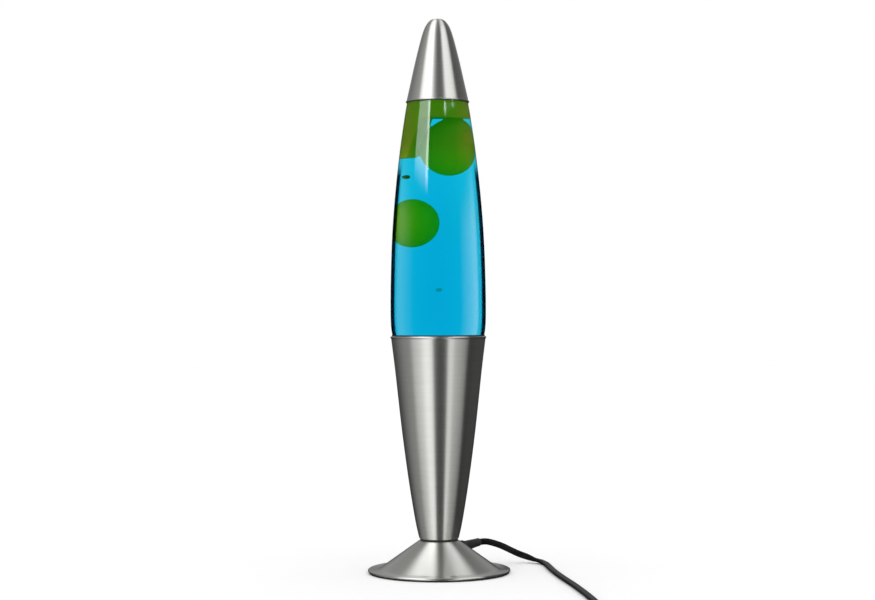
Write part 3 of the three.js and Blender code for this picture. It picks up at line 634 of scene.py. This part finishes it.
def strain_relief():
    """A tapered, ribbed sleeve with a collar against the flank."""
    ribs, first, pitch = 5, 4.2, 3.0
    profile = [[0, -15], [3.6, -15], [3.6, -10], [4, -8], [4, -0.4]]
    profile += [[4.8, -0.2], [5.0, 0.3], [5.0, 1.2], [4.7, 1.6]]
    for i in range(ribs):
        z = first + i * pitch
        outer = 4.0 - 0.18 * i
        profile += [[outer, z - 1.3], [outer, z + 0.7], [outer - 0.4, z + 0.9], [outer - 0.4, z + 1.4]]
    profile += [[3.2, 18.6], [3.2, RELIEF_LENGTH - 0.6], [3.0, RELIEF_LENGTH], [0, RELIEF_LENGTH]]
    place = place_along(ON_FLANK, EXIT_DIRECTION)
    piece = turned("cord_strain_relief", profile, PLASTIC, "base", SMALL, place)
    return stands_for(piece, "black_plastic", "strain_relief")


def cord_tie():
    """A flat hook-and-loop band round the coil's section."""
    middle = COIL_X - (2 * COIL_OUTER - COIL_PITCH * COIL_TURNS) / 2
    half, bottom, top, thickness, depth = 10.35, 0.1, 7.35, 0.55, 5.0
    centre_z, half_height = (bottom + top) / 2, (top - bottom) / 2
    outer = superellipse(half + thickness, half_height, 7, 72)
    inner = superellipse(half, half_height - thickness, 7, 72)
    verts = []
    for y in (COIL_Y - depth / 2, COIL_Y + depth / 2):
        verts += [(middle + a, y, centre_z + b) for a, b in outer]
        verts += [(middle + a, y, centre_z + b) for a, b in inner]
    near_outer, near_inner, far_outer, far_inner = range(4)
    faces = band(near_outer, near_inner, len(outer)) + band(far_outer, far_inner, len(outer))
    faces += band(near_outer, far_outer, len(outer)) + band(near_inner, far_inner, len(outer))
    piece = new_object("cord_tie_band", verts, faces, RUBBER, "base")
    return stands_for(piece, "black_plastic", "cord_tie")


RELIEF = strain_relief()
TIE = cord_tie()


# ---------- In-line switch ----------

SWITCH_HALF, SWITCH_WIDE = 30, 12.5
SWITCH_SPLIT, SWITCH_TOP, SWITCH_BOTTOM = 7.4, 15.2, 0.3
ROCKER_TILT = math.radians(8)
ROCKER_PIVOT = 11.5
WINDOW = (16.8, 11.8)


def switch_shell(name, levels):
    """One moulded half, from [z, inset] levels of a long rounded outline."""
    sections = []
    for z, inset in levels:
        outline = superellipse(SWITCH_HALF - inset, SWITCH_WIDE - inset, 3.4, 96)
        sections.append([(SWITCH_X + a, SWITCH_Y + b, z) for a, b in outline])
    return lofted(name, sections, PLASTIC, "base")


def window_frame():
    """A raised lip round the rocker's window."""
    x, y = WINDOW[0] / 2, WINDOW[1] / 2
    rings = [(1.6, 0), (1.3, 0.5), (0.2, 0.5), (0.2, -3), (1.6, -3)]  # how far out and up
    verts, faces = [], []
    count = 64
    for i, (out, up) in enumerate(rings):
        z = SWITCH_TOP - 0.2 + up
        verts += [(SWITCH_X + a, SWITCH_Y + b, z) for a, b in superellipse(x + out, y + out, 9, count)]
        faces += band(i, (i + 1) % len(rings), count)
    return new_object("switch_window_frame", verts, faces, PLASTIC, "base")


def make_switch():
    """Its two halves, the upper one with a window for the rocker."""
    foot_levels = [[SWITCH_BOTTOM, 1.6], [SWITCH_BOTTOM + 0.4, 0.7], [SWITCH_BOTTOM + 1.4, 0.1]]
    low = switch_shell("switch_shell_lower", foot_levels + [[6.4, 0], [7.0, 0.05], [7.25, 0.3]])
    head_levels = [[12.4, 0.3], [13.8, 1.1], [14.7, 2.4], [15.1, 4.2], [SWITCH_TOP, 6.0]]
    high = switch_shell("switch_shell_upper", [[7.55, 0.3], [7.8, 0.05], [8.4, 0]] + head_levels)
    x, y = WINDOW[0] / 2, WINDOW[1] / 2
    sides = (SWITCH_X - x, SWITCH_X + x), (SWITCH_Y - y, SWITCH_Y + y)
    cut(high, *box_shape(*sides, (SWITCH_SPLIT + 0.4, SWITCH_TOP + 3)))
    stands_for(low, "black_plastic", "switch_lower_shell")
    stands_for(high, "black_plastic", "switch_upper_shell")
    window_frame()
    return low, high


def rocker():
    """A shallow V with finger ridges, tipped to its on side."""
    half, half_width = 7.5, 5.5
    ridges, first_ridge, ridge_pitch = 5, -6.0, 0.9
    top = [(-half, 5.0), (-half + 1.2, 4.95)]
    for i in range(ridges):
        x = first_ridge + i * ridge_pitch
        top += [(x, 4.8), (x + 0.2, 5.1), (x + 0.5, 5.1), (x + 0.7, 4.75)]
    top += [(0, 4.0), (half - 1.2, 4.95), (half, 5.0)]
    outline = top + [(half - 1.2, -3.0), (-half + 1.2, -3.0)]
    c, s = math.cos(ROCKER_TILT), math.sin(ROCKER_TILT)
    tipped = [(SWITCH_X + a * c + b * s, ROCKER_PIVOT + b * c - a * s) for a, b in outline]
    sections = [[(x, SWITCH_Y + y, z) for x, z in tipped] for y in (-half_width, half_width)]
    piece = lofted("switch_rocker_key", sections, BAKELITE, "rocker", crease=25)
    edge = piece.modifiers.new("Edge", "BEVEL")
    edge.width = 0.25 * MM
    edge.segments = 2
    settle(piece)
    return stands_for(piece, "black_plastic", "switch_rocker")


SWITCH_LOW, SWITCH_HIGH = make_switch()
rocker()


# ---------- Plug ----------

PLUG_FACE = PLUG_X + 51
PIN_HALF_PITCH = 9.3


def plug_body():
    """Flat two-pin plug: a ribbed taper, a waist with finger ridges, and a flared face."""
    # how far along it is, its half width and half height there, and how square
    stations = [
        [0, 3.3, 3.3, 2.0], [5, 3.7, 3.7, 2.0], [11, 4.3, 4.3, 2.1], [14.6, 4.9, 4.9, 2.3],
        [16.2, 6.4, 5.6, 2.6], [20, 7.6, 6.3, 3.0], [26, 8.9, 6.7, 3.4], [31, 11.4, 6.85, 4.0],
        [36, 14.9, 6.85, 4.6], [41, 17.3, 6.85, 5.2], [46, 17.65, 6.85, 6.0], [50, 17.65, 6.85, 6.5],
    ]
    sections = []

    def add_section(x, *outline):
        points = superellipse(*outline, 72)
        sections.append([(PLUG_X + x, PLUG_Y + a, PLUG_Z + b) for a, b in points])

    for x, wide, high, power in smooth(stations, 5):
        ridge = 0.35 * max(0, math.sin(TURN * x / 2.4)) if 18 < x < 32 else 0
        groove = 0.55 if 2 < x < 14 and (x % 2.6) < 1.1 else 0
        add_section(x, wide + ridge - groove, high - groove, power)
    _, wide, high, power = stations[-1]
    for x, inset in ((50.7, 0.15), (51.1, 0.6), (51.2, 1.4)):
        add_section(x, wide - inset, high - inset, power)
    piece = lofted("plug_moulding", sections, PLASTIC, "base")
    return stands_for(piece, "black_plastic", "plug_body")


def plug_pin(side):
    """A round pin, its root sleeved and its end rounded."""
    root = PLUG_FACE + 1.3
    place = place_along((root, PLUG_Y + side * PIN_HALF_PITCH, PLUG_Z), (1, 0, 0))
    number = 1 if side < 0 else 2
    metal = [[0, -0.4], [1.2, -0.4], [1.2, 10.3], [1.9, 10.3], [2.0, 10.5], [2.0, 17.2]]
    metal += arc(0.8, 17.8, 1.2, 0, 90, 6) + [[0, 19]]
    sleeve = [[1.5, -0.4], [2.0, -0.4], [2.0, 9.9], [1.9, 10.0], [1.5, 10.0]]
    pin = turned(f"plug_pin_metal_{number}", metal, STEEL, "base", 48, place)
    stands_for(pin, "plain_steel", f"plug_pin_{number}")
    cover = turned(f"plug_pin_cover_{number}", sleeve, PLASTIC, "base", 48, place)
    stands_for(cover, "black_plastic", f"plug_sleeve_{number}")
    return pin, cover


PLUG = plug_body()
PLUG_PINS = [piece for side in (-1, 1) for piece in plug_pin(side)]


# ---------- Foot and cone ----------

FOOT_HEIGHT = 24.5
FLANGE_TOP = 3.0
RIM_RADIUS, RIM_BEAD = 54, 0.95
CONE_FLOOR = FOOT_HEIGHT + GAP
LIP_Z, LIP_RADIUS, LIP_BEAD = 178.6, 36.4, 0.75
NIPPLE_HOLE = 5.3  # radius of the hole for the threaded nipple


def shadow_line_ring(name, profile, body):
    """A thin black ring in a joint of the metal, which no CAD piece stands for: a painted shadow line."""
    turned(name, profile, RUBBER, body)


def foot():
    """The spun shell with its rolled rim, its pad and its bottom plate."""
    flank_foot, flank_head = 45.2, 16.2
    bead_centre = RIM_RADIUS - RIM_BEAD
    corner = arc(flank_head - 1.3, FOOT_HEIGHT - 1.3, 1.3, 90, 35, 6)
    steps = ((-1.3, 1.1), (-0.2, 0.42), (1.0, 0.08), (2.4, 0))  # out from the flank, up from the flange
    flare = smooth([[flank_foot + out, FLANGE_TOP + up] for out, up in steps], 4)
    bead = arc(bead_centre, FLANGE_TOP - RIM_BEAD, RIM_BEAD, 90, -150, 16)
    under = [
        [bead_centre - 0.5, FLANGE_TOP - SHEET], [flank_foot + 1, FLANGE_TOP - SHEET],
        [flank_foot - 2.2, FLANGE_TOP + 0.1], [flank_head - 1.2, FOOT_HEIGHT - SHEET - 0.4],
        [flank_head - 2, FOOT_HEIGHT - SHEET], [NIPPLE_HOLE, FOOT_HEIGHT - SHEET],
    ]
    profile = [[NIPPLE_HOLE, FOOT_HEIGHT], *corner, *flare, *bead, *under]
    shell = turned("foot_shell", profile, BRUSHED, "base")
    stands_for(shell, "brushed_metal", "base_flange")
    pad_profile = [[30, 0.12], [30.4, 0], [52.6, 0], [53, 0.15]]
    pad_profile += [[53, 0.65], [52.8, 0.8], [30.2, 0.8], [30, 0.7]]
    pad = turned("foot_pad_ring", pad_profile, RUBBER, "base")
    stands_for(pad, "black_rubber", "foot_pad")
    plate_profile = [[0, 1.1], [51.4, 1.1], [51.6, 1.3], [51.6, 1.9], [0, 1.9]]
    plate = turned("foot_bottom_plate", plate_profile, STEEL, "base")
    stands_for(plate, "plain_steel", "bottom_plate")


CONE_WAIST = [[18, 39.8], [22.9, 70.2], [27.9, 108], [32.9, 153.6], [35.2, 172.5]]
CONE_OUTLINE = smooth([[15, CONE_FLOOR + 1.6], *CONE_WAIST, [35.75, LIP_Z - 1.4]], 6)


def cone():
    """The spun shell with its rolled lip, its seat ring, and two black rings at its foot and lip that are
    painted shadow lines.
    """
    bead_centre = LIP_RADIUS - LIP_BEAD
    bead = arc(bead_centre, LIP_Z - LIP_BEAD + 0.6, LIP_BEAD, -50, 185, 14)
    inside = [[r - SHEET, z] for r, z in CONE_OUTLINE][::-1]
    heel = [[12.4, CONE_FLOOR], [12.8, CONE_FLOOR + 1.3], [14.6, CONE_FLOOR + 1.3]]
    profile = [[NIPPLE_HOLE, CONE_FLOOR], *heel, *CONE_OUTLINE, *bead, *inside[:-1]]
    profile += [[13.8, CONE_FLOOR + 2.2], [12.2, CONE_FLOOR + 2.1]]
    profile += [[11.6, CONE_FLOOR + SHEET], [NIPPLE_HOLE, CONE_FLOOR + SHEET]]
    shell = turned("cone_shell", profile, BRUSHED, "base")
    stands_for(shell, "brushed_metal", "body_cone")
    # Painted shadow lines: black rings at the cone's foot and inside its lip.
    low, high = FOOT_HEIGHT + 0.05, CONE_FLOOR + 1.2
    shadow_line_ring("cone_foot_shadow_ring", [[12.95, low], [14.2, low], [14.35, high], [13.1, high]], "base")
    shadow_line_ring("cone_lip_shadow_ring", [[34.95, 178.8], [35.3, 178.8], [35.3, 180], [34.95, 180.1]], "base")
    seat_profile = [[32.7, 170.6], [33.8, 170.6], [34.1, 173.4], [33.5, 173.4]]
    seat = turned("seat_ring_fine", seat_profile, RUBBER, "base")
    stands_for(seat, "black_rubber", "seat_ring")


def lampholder():
    sleeve = [[11.4, 50.3], [12.8, 50.3], [12.8, 74]]
    sleeve += [[12.55, 76.5], [11.9, 79.4], [11.5, 80], [10.2, 80], [10.1, 79.2], [11.4, 74]]
    piece = turned("holder_sleeve_fine", sleeve, BAKELITE, "base", SMALL)
    stands_for(piece, "dark_bakelite", "holder_sleeve")
    cap = [[NIPPLE_HOLE, 36], [9.3, 36], [10.6, 36.3], [12.2, 38.2], [12.8, 40.4]]
    cap += [[12.8, 50], [11.4, 50], [11.4, 40.8], [9.2, 38], [NIPPLE_HOLE, 38]]
    stands_for(turned("holder_cap_fine", cap, BAKELITE, "base", SMALL), "dark_bakelite", "holder_cap")


foot()
cone()
lampholder()


# ---------- Bulb ----------

BULB_WIDEST, BULB_WALL = 115, 0.8
BULB_FLARE = [[5.5, 70], [5.6, 81.6], [7.4, 85], [13.4, 94], [18.6, 107], [19.5, BULB_WIDEST]]
BULB_OUTLINE = smooth([*BULB_FLARE, [17.6, 122.6], [11, 127.4], [0, 129]], 6)


def lined(outline, wall, crown):
    """A turned outline, then its inside, lower by the wall too above the crown height."""
    inside = [[max(r - wall, 0), z - wall if z > crown else z] for r, z in outline]
    return outline + inside[::-1]


def bulb():
    """The glass envelope and the screw cap with its rolled thread."""
    profile = lined(BULB_OUTLINE, BULB_WALL, BULB_WIDEST)
    envelope = turned("bulb_envelope_fine", profile, BULB_GLASS, "bulb", 96)
    stands_for(envelope, "clear_glass", "bulb_envelope")
    ridges, first_ridge, pitch = 4, 67.1, 2.82
    thread = [[6.0, 66.3], [6.4, 66.3]]
    for i in range(ridges):
        bottom = first_ridge + i * pitch
        thread += [[6.42, bottom], [6.6, bottom + 0.7], [6.85, bottom + 1.41], [6.6, bottom + 2.1]]
    thread += [[6.6, 80.6], [6.4, 81], [6.1, 81]]
    shell = turned("bulb_cap_thread", thread, STEEL, "bulb_base", SMALL)
    stands_for(shell, "plain_steel", "bulb_screw_shell")


bulb()


# ---------- Bottle, liquid and wax ----------

WALL = 2.2
BOTTLE_WAIST = smooth(
    [
        [29.2, 147], [31.2, 160], [32.3, 171], [34.6, 178.6], [35.9, 188], [36.15, 203], [35.9, 222],
        [35.1, 247.6], [33.6, 272], [31.4, 296.2], [28.6, 320.4], [25.2, 344], [23.35, 355],
    ],
    6,
)
BOTTLE_SHOULDER = smooth(
    [[23.35, 355.2], [22.5, 358.2], [20.2, 362.5], [15.6, 367.4], [12.9, 369.2], [12.4, 370.6]], 5
)
BOTTLE_FLOOR, INNER_TOP, BOTTLE_TOP = 146.4, 365, 377
INSIDE = [[r - WALL, z] for r, z in BOTTLE_WAIST if z > BOTTLE_FLOOR + 2]
SHOULDER_INSIDE = smooth(
    [INSIDE[-1], [20.5, 358], [17.8, 361.4], [13.4, INNER_TOP], [9.4, 368.3], [9, 369.6]], 5
)
BITE = 0.12  # how far the liquid goes into the glass, so that light bends once at the wall
WAX_UNDERSIDE, LOBE_UNDERSIDE = 343, 313
WAX_CLEARANCE = 0.12  # between the wax at the top and the wall
HANGING_BLOB = (6.5, -4, 321, 17.5, 21.8)  # x, y, z, half width and half height
DRIFTING_BLOB = (-14.6, 0, 264, 15.5, 18)
UPPER_DROPLET = (-13.1, 19.2, 299.2, 1.3, 1.5)
LOWER_DROPLET = (0.4, 20, 214.2, 1.5, 1.3)
POOL_TOP = 153


def inner_radius(z):
    """Radius of the bottle's inside at a height."""
    radii, heights = zip(*(INSIDE + SHOULDER_INSIDE[1:]))
    return float(np.interp(z, heights, radii))


def bottle():
    """Pressed glass with a crown finish, and its own look where the liquid wets it."""
    finish = [[12.4, 373.2], *arc(12.5, 375, 0.9, -70, 80, 8)]
    finish += [[12.4, BOTTLE_TOP], [9.3, BOTTLE_TOP], [9, BOTTLE_TOP - 0.3]]
    foot_ring = smooth([[0, 143.4], [17, 142.8], [23, 142], [27, 143.2], [29.2, 147]], 6)
    inner_floor = smooth([INSIDE[0], [26.4, 147.8], [24.6, 146.8], [22, BOTTLE_FLOOR]], 4)
    profile = foot_ring + BOTTLE_WAIST[1:] + BOTTLE_SHOULDER + finish
    profile += SHOULDER_INSIDE[::-1] + INSIDE[::-1][1:] + inner_floor[1:] + [[0, BOTTLE_FLOOR]]
    piece = turned("glass_bottle_fine", profile, GLASS, "bottle", FINE)
    piece.data.materials.append(WETTED_GLASS)
    for face in piece.data.polygons:
        x, y, z = face.center / MM
        inside = math.hypot(x, y) < inner_radius(z) + 0.6
        face.material_index = int(inside and BOTTLE_FLOOR - 0.5 < z < INNER_TOP)
    stands_for(piece, "clear_glass", "glass_bottle")


def crown_cap():
    """A pressed crown cap, its skirt fluted deeper towards its edge."""
    flutes, depth = 21, 0.42
    skirt_top, skirt_height, skirt_start = 376.6, 4.6, 13.4

    def ripple(angle, r, z):
        if z > skirt_top or r < skirt_start:
            return 0
        return depth * (skirt_top - z) / skirt_height * math.cos(flutes * angle)

    top = BOTTLE_TOP + 1.4
    outside = [[0, top], [12.6, top], [13.6, top - 0.15], [14.3, top - 0.7]]
    outside += [[14.8, 376.4], [15.3, 374.6], [15.9, 372.6]]
    inside = [[15.6, 372.4], [15.0, 374.4], [14.5, 376.2], [13.9, 377.2], [13, 377.95], [0, 377.95]]
    facets = 10 * flutes
    cap = turned("crown_cap_fluted", outside + inside, STEEL, "bottle", facets, ripple=ripple, crease=60)
    stands_for(cap, "plain_steel", "crown_cap")


def liquid():
    walls = [[r + BITE, z] for r, z in INSIDE + SHOULDER_INSIDE[1:-2]]
    floor = smooth([walls[0], [26.45, 147.7], [24.6, 146.7], [22, BOTTLE_FLOOR - BITE]], 4)
    profile = [[0, BOTTLE_FLOOR - BITE], *floor[::-1], *walls[1:], [0, walls[-1][1]]]
    piece = turned("liquid_fill", profile, LIQUID, "bottle", FINE)
    stands_for(piece, "blue_liquid", "liquid")


def ellipsoid_shape(x, y, z, half, half_height, rings=48):
    """Vertices and faces of an upright ellipsoid round a point."""
    angles = [math.pi * i / rings for i in range(rings + 1)]
    outline = [[half * math.sin(a), -half_height * math.cos(a)] for a in angles]
    outline[0][0] = outline[-1][0] = 0
    verts, faces = turned_mesh(outline, 2 * rings)
    return [(a + x, b + y, c + z) for a, b, c in verts], faces


def joined(shapes):
    verts, faces = [], []
    for more_verts, more_faces in shapes:
        start = len(verts)
        verts += more_verts
        faces += [[start + i for i in face] for face in more_faces]
    return verts, faces


def between(low, high, steps=24):
    return [low + k * (high - low) / steps for k in range(steps + 1)]


def wax_plug():
    heights = between(WAX_UNDERSIDE, INNER_TOP - 1)
    wall = [[inner_radius(z) - WAX_CLEARANCE, z] for z in heights]
    return turned_mesh([[0, WAX_UNDERSIDE], *wall, [0, heights[-1]]], 128)


def wax_lobe():
    """The lobe down one side: a round tongue, wider upwards, kept inside the bottle."""
    centre, foot_radius, head_radius, count = -28, 16.5, 25.5, 96
    heights = between(LOBE_UNDERSIDE, WAX_UNDERSIDE + 3)
    verts, faces = [], []
    for z in heights:
        inner = inner_radius(z) - WAX_CLEARANCE
        radius = float(np.interp(z, [LOBE_UNDERSIDE, WAX_UNDERSIDE], [foot_radius, head_radius]))
        for k in range(count):
            angle = TURN * k / count
            x, y = centre + radius * math.cos(angle), radius * math.sin(angle)
            share = min(1, inner / math.hypot(x, y))
            verts.append((x * share, y * share, z))
    for i in range(len(heights) - 1):
        faces += band(i, i + 1, count)
    faces += [list(range(count)), list(range(len(verts) - count, len(verts)))]
    return verts, faces


def wax_hanging():
    """The blob that hangs by a neck, its upper half leaning towards it."""
    lean, neck_x, neck_y = 0.16, 9, -4
    neck_profile = [[0, 338], [7, 338], [5.6, 340], [5.2, 341.4], [6.4, 343], [9, 344], [0, 344]]
    neck_verts, neck_faces = turned_mesh(neck_profile, 48)
    neck_verts = [(x + neck_x, y + neck_y, z) for x, y, z in neck_verts]
    verts, faces = ellipsoid_shape(*HANGING_BLOB)
    verts = [(x + lean * max(z - HANGING_BLOB[2], 0), y, z) for x, y, z in verts]
    return joined([(neck_verts, neck_faces), (verts, faces)])


def wax_crown():
    """The wax at the top, run together, smoothed and laid back against the wall."""
    verts, faces = joined([wax_plug(), wax_lobe(), wax_hanging()])
    piece = new_object(
        "wax_crown_mass",
        verts,
        faces,
        WAX,
        "bottle",
        modifiers=[
            ("REMESH", {"mode": "VOXEL", "voxel_size": 0.6 * MM}),
            ("SMOOTH", {"factor": 0.5, "iterations": 8}),
        ],
    )
    settle(piece)
    mesh = piece.data
    near_wall = 0.7
    for vertex in mesh.vertices:
        x, y, z = vertex.co / MM
        reach = math.hypot(x, y)
        limit = inner_radius(z) - WAX_CLEARANCE
        if reach > limit - near_wall:
            vertex.co = Vector((x * limit / reach, y * limit / reach, z)) * MM
    mesh.shade_smooth()
    stands_for(piece, "green_wax", "wax_crown")


def wax_drops():
    """The drifting blob and droplets, and the pool at the bottle's foot."""
    drops = [
        ("wax_blob_drifting", "wax_blob", "drifting_blob", DRIFTING_BLOB, 48, WAX),
        ("wax_drop_upper", "wax_droplet_upper", "upper_droplet", UPPER_DROPLET, 20, SHADED_WAX),
        ("wax_drop_lower", "wax_droplet_lower", "lower_droplet", LOWER_DROPLET, 20, FAINT_WAX),
    ]
    for name, node, body, sizes, rings, look in drops:
        verts, faces = ellipsoid_shape(*sizes, rings=rings)
        stands_for(new_object(name, verts, faces, look, body), "green_wax", node)
    wall = [[inner_radius(z) - 0.15, z] for z in (149, 150.5, 152)]
    pool = [[0, 146.7], [21.8, 146.7], [25.2, 147.8], *wall]
    pool += [[inner_radius(152) - 0.8, POOL_TOP], [0, POOL_TOP]]
    stands_for(turned("wax_pool_fine", pool, WAX, "bottle"), "green_wax", "wax_pool")


bottle()
crown_cap()
liquid()
wax_crown()
wax_drops()


# ---------- Nose cap ----------

NOSE_RIM_RADIUS, NOSE_SHOULDER = 23.6, 410
NOSE_FLANK = [[23.5, 357.5], [20.9, 369], [17.9, 382.6], [14.6, 396.3], [11.5, 407.7]]
NOSE_OUTLINE = smooth([*NOSE_FLANK, [8.8, 414.5], [5, 418.9], [0, 420]], 8)


def nose():
    """The spun cap with its beaded rim, and a black ring inside the rim that is a painted shadow line."""
    rim = [[NOSE_RIM_RADIUS - SHEET, 356.3], *arc(NOSE_RIM_RADIUS - 0.05, 356.85, 0.55, -90, 60, 8)]
    shell = turned("nose_shell", lined(NOSE_OUTLINE, SHEET, NOSE_SHOULDER) + rim, BRUSHED, "nose")
    stands_for(shell, "brushed_metal", "nose_cap")
    # Painted shadow line: a black ring under the rim.
    shadow_line_ring("nose_rim_shadow_ring", [[22.5, 355.6], [23.3, 355.6], [23.3, 356.4], [22.5, 356.4]], "nose")


nose()


# ---------- CAD pieces that stay ----------

KEPT = {
    STEEL: [
        "threaded_nipple", "lower_nut", "lock_washer", "upper_nut", "bulb_tip_contact", "heating_coil",
        "switch_pin", "switch_screw_1", "switch_screw_2",
    ],
    BRASS: ["holder_screw_shell", "holder_centre_contact", "holder_terminal_1", "holder_terminal_2"],
    TUNGSTEN: ["bulb_lead_wire_1", "bulb_lead_wire_2", "bulb_filament"],
    PLASTIC: ["relief_lock_ring"],
    SHEATH: ["inner_cord"],
    BAKELITE: ["holder_insert"],
    BROWN_WIRE: ["live_wire"],
    BLUE_WIRE: ["neutral_wire"],
    BLACK_GLASS: ["bulb_insulator"],
    BULB_GLASS: ["bulb_stem"],
    FOAM: ["crown_liner"],
}
for look, names in KEPT.items():
    for name in names:
        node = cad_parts[name]
        if not node.material_slots:
            node.data.materials.append(look)
        node.material_slots[0].link = "OBJECT"
        node.material_slots[0].material = look


# ---------- Studio ----------

# Brightness round the lamp, as (degrees from the front, level).
# What the metal mirrors from above: two tall softboxes and the dimmer room between them.
UPPER_ROOM = [
    (-180, 0.5), (-150, 0.42), (-140, 0.24), (-108, 0.38), (-84, 0.5), (-75, 0.65), (-70, 2.1), (-28, 2.1),
    (-22, 0.9), (-14, 0.38), (-4, 0.22), (3, 0.16), (15, 0.15), (26, 0.18), (31, 0.6), (37, 1.7), (76, 1.6),
    (81, 0.4), (87, 0.14), (110, 0.16), (138, 0.2), (150, 0.36), (180, 0.5),
]
# What it mirrors from high up.
HIGH_ROOM = [
    (-180, 0.5), (-150, 0.55), (-120, 1.1), (-100, 2.0), (-40, 2.0), (-12, 0.6), (0, 0.3), (62, 0.25),
    (88, 0.32), (104, 1.3), (128, 1.5), (143, 0.7), (160, 0.5), (180, 0.5),
]
# What it mirrors from level with it and below: the same, dimmer and narrower.
LOWER_ROOM = [
    (-180, 0.01), (-155, 0.02), (-132, 0.1), (-100, 0.26), (-76, 0.3), (-66, 0.36), (-55, 0.48), (-46, 0.64),
    (-38, 0.98), (-18, 1.15), (-13, 0.5), (-9, 0.1), (0, 0.07), (16, 0.08), (22, 0.2), (27, 1.1), (34, 0.96),
    (42, 0.46), (52, 0.26), (61, 0.2), (72, 0.08), (83, 0.03), (110, 0.05), (135, 0.05), (160, 0.01),
]
# The softboxes as polished glass mirrors them, sharp and brighter at their frames.
GLASS_ROOM = [
    (-180, 0.0), (-72, 0.0), (-70, 6.4), (-67, 5), (-36, 5.6), (-34, 13), (-29, 13), (-27, 0.0),
    (24, 0.0), (26, 10), (31, 10), (33, 0.6), (56, 0.6), (58, 10), (69, 10), (72, 0.0),
]
# Low pale cards at both sides, which only the glass mirrors.
SIDE_CARDS = [
    (-180, 0), (-124, 0), (-114, 0.6), (-98, 0.7), (-80, 0.4), (-62, 0), (55, 0), (75, 1.1), (98, 2.0),
    (108, 1.8), (117, 0), (180, 0),
]
# Heights, as the z of a direction, between which one part of the studio gives way to the next.
UPPER_EDGE, HIGH_EDGE = (-0.15, 0.45), (0.74, 0.9)
LEFT_BOX_FOOT, RIGHT_BOX_FOOT, BOX_TOP = (0.24, 0.31), (0.39, 0.43), (0.84, 0.92)
SIDE_CARD_TOP, WAX_LIGHT_FOOT = (0.13, 0.24), (0.55, 0.75)
DAYLIGHT = 1.15  # on matt surfaces
WAX_LIGHT = 1.5  # from above, through the glass
BACKDROP = 0.9  # the pale surround as it shows through the glass
FLOOR_HALF = 6.0  # metres


def ramp_node(tree, value, stops):
    """A colour ramp round the compass from (degrees, level) stops."""
    ramp = tree.nodes.new("ShaderNodeValToRGB")
    elements = ramp.color_ramp.elements
    elements.remove(elements[0])
    for i, (degrees, level) in enumerate(stops):
        place = (degrees + 180) / 360
        element = elements[0] if i == 0 else elements.new(place)
        element.position = place
        element.color = (level, level, level, 1)
    tree.links.new(value, ramp.inputs["Fac"])
    return ramp.outputs["Color"]


def make_world():
    """A product studio: pale all round, with softboxes that the glass and the metal mirror."""
    world = bpy.data.worlds.new("studio")
    world.use_nodes = True
    world.cycles.sampling_method = "NONE"
    bpy.context.scene.world = world
    tree = world.node_tree
    background = tree.nodes["Background"]
    background.inputs["Color"].default_value = (1, 1, 1, 1)

    def maths(operation, *values):
        return math_node(tree, operation, *values)

    def above(edge):
        """0 below an edge of the studio, 1 above it."""
        return soft_step(tree, z, *edge)

    def below(edge):
        return maths("SUBTRACT", 1.0, above(edge))

    def ring(stops):
        return ramp_node(tree, around, stops)

    def blend(share, first, second):
        """first where share is 0, second where it is 1."""
        rest = maths("SUBTRACT", 1.0, share)
        return maths("ADD", maths("MULTIPLY", rest, first), maths("MULTIPLY", share, second))

    direction = tree.nodes.new("ShaderNodeTexCoord").outputs["Generated"]
    split = tree.nodes.new("ShaderNodeSeparateXYZ")
    tree.links.new(direction, split.inputs[0])
    x, y, z = split.outputs
    azimuth = maths("ARCTAN2", x, maths("MULTIPLY", y, -1.0))
    around = maths("ADD", maths("DIVIDE", azimuth, TURN), 0.5)
    walls = blend(above(UPPER_EDGE), ring(LOWER_ROOM), ring(UPPER_ROOM))
    room = blend(above(HIGH_EDGE), walls, ring(HIGH_ROOM))

    on_right = maths("GREATER_THAN", azimuth, 0.0)
    above_foot = blend(on_right, above(LEFT_BOX_FOOT), above(RIGHT_BOX_FOOT))
    lit = maths("MULTIPLY", above_foot, below(BOX_TOP))
    boxes = maths("MULTIPLY", ring(GLASS_ROOM), lit)
    cards = maths("MULTIPLY", ring(SIDE_CARDS), below(SIDE_CARD_TOP))
    mirrored = maths("ADD", boxes, cards)

    through = blend(above(WAX_LIGHT_FOOT), BACKDROP, WAX_LIGHT)

    # Each kind of ray sees its own studio.
    path = tree.nodes.new("ShaderNodeLightPath").outputs
    in_glass = maths("MULTIPLY", path["Is Singular Ray"], path["Is Reflection Ray"])
    strength = blend(in_glass, room, mirrored)
    strength = blend(path["Is Diffuse Ray"], strength, DAYLIGHT)
    strength = blend(path["Is Transmission Ray"], strength, through)
    strength = blend(path["Is Camera Ray"], strength, 1.0)
    tree.links.new(strength, background.inputs["Strength"])


def make_floor():
    """A wide pale table, which metal and glass don't show."""
    corners = [(a * FLOOR_HALF, b * FLOOR_HALF, 0) for a, b in ((-1, -1), (1, -1), (1, 1), (-1, 1))]
    mesh = bpy.data.meshes.new("floor")
    mesh.from_pydata(corners, [], [[0, 1, 2, 3]])
    mesh.materials.append(pale_floor())
    floor = placed("floor", mesh)
    floor.visible_glossy = False
    floor.visible_transmission = False


make_world()
make_floor()
